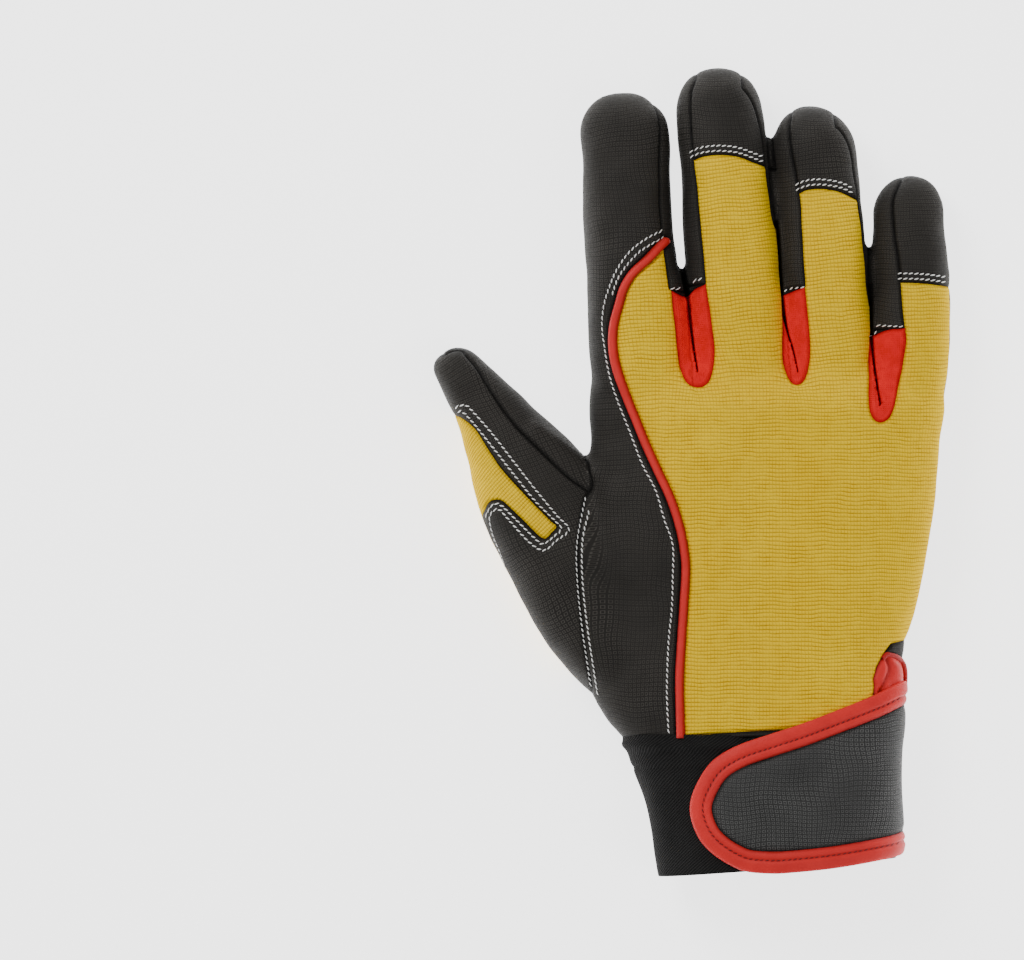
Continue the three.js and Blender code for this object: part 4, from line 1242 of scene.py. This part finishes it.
class Finish:
    """A material, its shader, and short ways to add nodes and join their sockets."""

    def __init__(self, name, color, roughness, specular=0.5):
        self.made = bpy.data.materials.new(name)
        self.made.use_nodes = True
        self.nodes, self.links = self.made.node_tree.nodes, self.made.node_tree.links
        self.shader = self.nodes["Principled BSDF"]
        self.fill("Base Color", color)
        self.fill("Roughness", roughness)
        self.fill("Specular IOR Level", specular)

    def put(self, socket, value):
        if isinstance(value, bpy.types.NodeSocket):
            self.links.new(value, socket)
        elif isinstance(value, tuple) and socket.type == "RGBA":
            socket.default_value = (*value, 1)
        else:
            socket.default_value = value

    def fill(self, socket, value):
        self.put(self.shader.inputs[socket], value)

    def add(self, kind, sockets=(), output=0, **settings):
        """A new node with its settings and inputs; gives one of its outputs."""
        node = self.nodes.new("ShaderNode" + kind)
        for key, value in settings.items():
            setattr(node, key, value)
        for key, value in dict(sockets).items():
            self.put(node.inputs[key], value)
        return node.outputs[output]

    def math(self, operation, *values):
        return self.add("Math", enumerate(values), operation=operation)

    def times(self, a, b, plus=None):
        return self.math("MULTIPLY", a, b) if plus is None else self.math("MULTIPLY_ADD", a, b, plus)

    def split(self, vector):
        node = self.nodes.new("ShaderNodeSeparateXYZ")
        self.put(node.inputs[0], vector)
        return node.outputs

    def uv(self):
        return self.split(self.add("UVMap", uv_map="weave"))[:2]

    def objects(self):
        return self.add("TexCoord", output="Object")

    def attribute(self, name):
        return self.add("Attribute", output="Fac", attribute_name=name)

    def shifted(self, vector, amount):
        return self.add("VectorMath", {0: vector, 1: (amount,) * 3}, operation="ADD")

    def noise(self, vector, size, detail):
        return self.add("TexNoise", {"Vector": vector, "Scale": 1 / (size * MM), "Detail": detail,
                                     "Roughness": 0.55})

    def cells(self, vector, size):
        return self.add("TexVoronoi", {"Vector": vector, "Scale": 1 / (size * MM)}, feature="F1")

    def wave(self, value, pitch):
        """0..1 rounded ridges with the given pitch."""
        turned = self.times(value, 2 * np.pi / (pitch * MM), 0.0)
        return self.times(self.math("SINE", turned), 0.5, 0.5)

    def ramp(self, value, low, high, a, b):
        return self.add("MapRange", {"Value": value, "From Min": low, "From Max": high, "To Min": a,
                                     "To Max": b}, clamp=True)

    def seam(self, near, far):
        """Mask for painted shade in seam grooves and creases: 1 on a seam or crease, falling to 0 between the
        two distances.
        """
        return self.ramp(self.attribute("seam"), near * scale, far * scale, 1, 0)

    def mix(self, share, a, b):
        return self.add("Mix", {0: share, 6: a, 7: b}, 2, data_type="RGBA")

    def done(self, base, height, depth):
        """Joins the colour and the fine relief to the shader."""
        self.fill("Base Color", base)
        self.fill("Normal", self.add("Bump", {"Strength": 1.0, "Distance": depth * MM, "Height": height}))
        return self.made


def leather(name, color, palm_color, patch_and_seam_shade_color, roughness, emboss, pitch=1.38):
    """Leather embossed with rows of small square rings, their raised rims painted lighter as a painted
    highlight and its seams painted darker as painted shade; the palm side is a little lighter.
    """
    w = Finish(name, color, roughness, 0.1)
    place = w.objects()
    sides = []
    for coordinate, shift in zip(w.uv(), (0.0, 0.3)):
        drift = w.times(w.noise(w.shifted(place, shift), 22, 1), 0.006, coordinate)
        share = w.math("FRACT", w.times(drift, 1 / (pitch * MM)))
        sides.append(w.math("ABSOLUTE", w.math("SUBTRACT", share, 0.5)))
    off_ring = w.math("ABSOLUTE", w.math("SUBTRACT", w.math("MAXIMUM", *sides), 0.27))
    patch = w.ramp(w.noise(w.shifted(place, 0.7), 26, 2), 0.36, 0.6, 0.35, 1)
    patch = w.times(patch, w.math("SUBTRACT", 1.0, w.attribute("tip")))
    ring = w.times(w.ramp(off_ring, 0.03, 0.1, 1, 0), patch)
    fine = w.noise(place, 1.0, 4)
    below = w.ramp(w.split(place)[2], 0.004, 0.012, 1, 0)
    base = w.mix(below, color, palm_color)
    base = w.mix(w.ramp(w.noise(place, 14, 4), 0.4, 0.7, 0, 0.35), base, patch_and_seam_shade_color)
    # Painted highlight: the raised rims of the rings are painted lighter.
    raised = w.mix(below, shade(color, 4.6), shade(palm_color, 2.6))
    base = w.mix(w.times(ring, w.ramp(below, 0, 1, 0.75 * emboss, emboss)), base, raised)
    # Painted shade: darker along seams and creases.
    base = w.mix(w.times(w.seam(0.15, 1.1), 0.8), base, patch_and_seam_shade_color)
    w.fill("Roughness", w.ramp(fine, 0.3, 0.7, roughness - 0.06, roughness + 0.1))
    height = w.times(ring, emboss, w.times(w.cells(place, 0.5), 0.3))
    return w.done(base, w.times(fine, 0.45, height), 0.13)


def rib_knit(name, color, valley_shade_and_mottle):
    """Knit with fine ribs along U crossed by finer columns along V; the valleys between them and the seams are
    painted darker as painted shade.
    """
    w = Finish(name, color, 0.85, 0.03)
    (u, v), place = w.uv(), w.objects()
    bent = w.times(w.noise(place, 14, 2), 0.0022, v)
    ribs = w.wave(w.times(w.noise(place, 2.5, 2), 0.0003, bent), 1.24)
    columns = w.wave(w.times(w.noise(place, 6, 2), 0.0006, u), 1.0)
    height = w.times(w.math("POWER", columns, 0.5), 0.35, w.math("POWER", ribs, 0.5))
    pore = w.times(w.ramp(columns, 0.0, 0.3, 1, 0), 0.7)
    # Painted shade: the valleys between the ribs and the gaps between the columns are painted darker.
    dark = w.times(w.math("MAXIMUM", w.ramp(ribs, 0.02, 0.34, 1, 0), pore),
                   w.ramp(w.noise(place, 4, 3), 0.3, 0.7, 0.45, 1))
    base = w.mix(w.times(dark, 0.95), color, valley_shade_and_mottle)
    base = w.mix(w.ramp(w.noise(place, 20, 2), 0.35, 0.65, 0, 0.12), base, valley_shade_and_mottle)
    # Painted shade: darker along seams and creases.
    base = w.mix(w.times(w.seam(0.1, 0.8), 0.4), base, shade(valley_shade_and_mottle, 0.5))
    return w.done(base, w.times(w.noise(place, 0.35, 3), 0.3, height), 0.2)


def smooth_hide(name, color, dark, roughness):
    w = Finish(name, color, roughness, 0.15)
    place = w.objects()
    base = w.mix(w.ramp(w.noise(place, 7, 3), 0.3, 0.7, 0, 0.5), color, dark)
    # Painted shade: darker along seams and creases.
    base = w.mix(w.times(w.seam(0.1, 0.9), 0.6), base, shade(dark, 0.45))
    return w.done(base, w.times(w.cells(place, 0.6), 0.5, w.noise(place, 0.9, 4)), 0.1)


def stretch_cloth(name, color, dark):
    w = Finish(name, color, 0.88, 0.03)
    (u, v), place = w.uv(), w.objects()
    base = w.mix(w.ramp(w.noise(place, 3, 3), 0.3, 0.7, 0, 0.6), color, dark)
    # Painted shade: darker along seams and creases.
    base = w.mix(w.times(w.seam(0.1, 1.2), 0.6), base, shade(dark, 0.5))
    return w.done(base, w.math("ADD", w.times(w.wave(u, 0.6), w.wave(v, 0.6)), w.noise(place, 1.5, 3)), 0.14)


def diagonal_knit(name, color, dark):
    w = Finish(name, color, 0.9, 0.15)
    u, v = w.uv()
    twill, cross = (w.wave(w.times(u, slant, v), 0.9) for slant in (0.75, -0.9))
    # Painted shade: the grooves of the twill are painted darker.
    base = w.mix(w.ramp(twill, 0.1, 0.7, 0.8, 0), color, dark)
    base = w.mix(w.ramp(w.noise(w.objects(), 10, 3), 0.35, 0.65, 0, 0.4), base, dark)
    return w.done(base, w.times(cross, 0.4, twill), 0.22)


def thread(name, color):
    w = Finish(name, color, 0.7)
    place = w.objects()
    base = w.mix(w.ramp(w.noise(place, 0.5, 3), 0.3, 0.7, 0, 0.3), color, shade(color, 0.7))
    return w.done(base, w.noise(place, 0.25, 2), 0.05)


# In the leather, knit, hide and cloth looks below, the darkest colour serves both as random darker tone and as
# painted shade in seams, creases and grooves.
finishes = {
    "black_leather": leather("black_leather_look", (0.0235, 0.0215, 0.019), (0.042, 0.048, 0.054),
                             (0.004, 0.004, 0.004), 0.6, 0.7),
    "yellow_knit": rib_knit("yellow_knit_look", (1.0, 0.67, 0.0), (0.52, 0.25, 0.0)),
    "red_leather": smooth_hide("red_leather_look", (0.72, 0.03, 0.028), (0.5, 0.018, 0.018), 0.5),
    "red_cloth": stretch_cloth("red_cloth_look", (0.9, 0.018, 0.02), (0.62, 0.01, 0.012)),
    "black_knit": diagonal_knit("black_knit_look", (0.02, 0.019, 0.0185), (0.003, 0.003, 0.003)),
}
strap_look = leather("strap_leather_look", (0.038, 0.0378, 0.037), (0.062, 0.062, 0.061),
                     (0.003, 0.003, 0.003), 0.5, 1.0)
white_thread = thread("white_thread_look", (1.0, 0.99, 0.96))
dark_thread = thread("dark_thread_look", (0.1, 0.004, 0.004))


def dress(piece, slot_name=None, nodes=(), look=None):
    """Gives a piece its look, the nodes that it stands for, its slot and its body."""
    piece.data.materials.append(look or finishes[slot_name])
    if nodes:
        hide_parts(*nodes)
    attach(piece, "root")


skin_slots = {"back_piping": "red_leather", "vent_binding": "red_leather", "back_panel": "yellow_knit",
              "thumb_insert": "yellow_knit"}
for name, piece in skin.items():
    plain = "red_cloth" if name.endswith("gusset") else "black_leather"
    leathers = [f"{digit}_leather" for digit in digits] if name == "palm_leather" else []
    dress(piece, skin_slots.get(name, plain), [name, *leathers])
dress(cuff, "black_knit", ["cuff"])
dress(strap["strap_leather"], "black_leather", ["strap"], strap_look)
dress(strap["strap_edge_binding"], "red_leather", ["strap_binding"])
dress(back_stitches, look=white_thread)
dress(palm_stitches, look=white_thread)
dress(strap_stitches, look=dark_thread)
# The vent rim has no seam attribute, so its look paints the whole rim with the painted seam shade.
dress(vent_rim, "red_leather")

# ---- Floor, light and camera
bpy.ops.mesh.primitive_plane_add(size=6.0, location=(0, 0, 0))
floor = bpy.context.object
floor.name = "floor"
paper = Finish("paper", (0.93,) * 3, 0.9)
pale = paper.mix(paper.noise(paper.objects(), 120, 2), (0.94,) * 3, (0.92,) * 3)
paper.fill("Base Color", pale)
paper.fill("Emission Color", pale)
paper.fill("Emission Strength", 2.8)
floor.data.materials.append(paper.made)

world = bpy.data.worlds.new("studio")
bpy.context.scene.world = world
world.use_nodes = True
world.node_tree.nodes["Background"].inputs[0].default_value = (1, 1, 1, 1)
world.node_tree.nodes["Background"].inputs[1].default_value = 0.42


def soft_light(name, place, size, power):
    lamp = bpy.data.lights.new(name, "AREA")
    lamp.shape = "DISK"
    lamp.size = size
    lamp.energy = power
    piece = bpy.data.objects.new(name, lamp)
    piece.location = place
    piece.rotation_euler = (Vector((0, 0.02, 0)) - Vector(place)).to_track_quat("-Z", "Y").to_euler()
    bpy.context.collection.objects.link(piece)
    return piece


soft_light("key", (-0.7, 0.8, 1.1), 0.7, 12.5)
soft_light("fill", (0.8, -0.5, 1.2), 1.0, 5)

camera = bpy.data.cameras.new("camera")
camera.lens = 380
camera.sensor_width = 36
viewer = bpy.data.objects.new("camera", camera)
frame_width = 1024 * 0.309 * MM
viewer.location = (-0.0766, 0.0247, 0.015 + frame_width * 380 / 36)
camera.clip_end = 20
bpy.context.collection.objects.link(viewer)
bpy.context.scene.camera = viewer
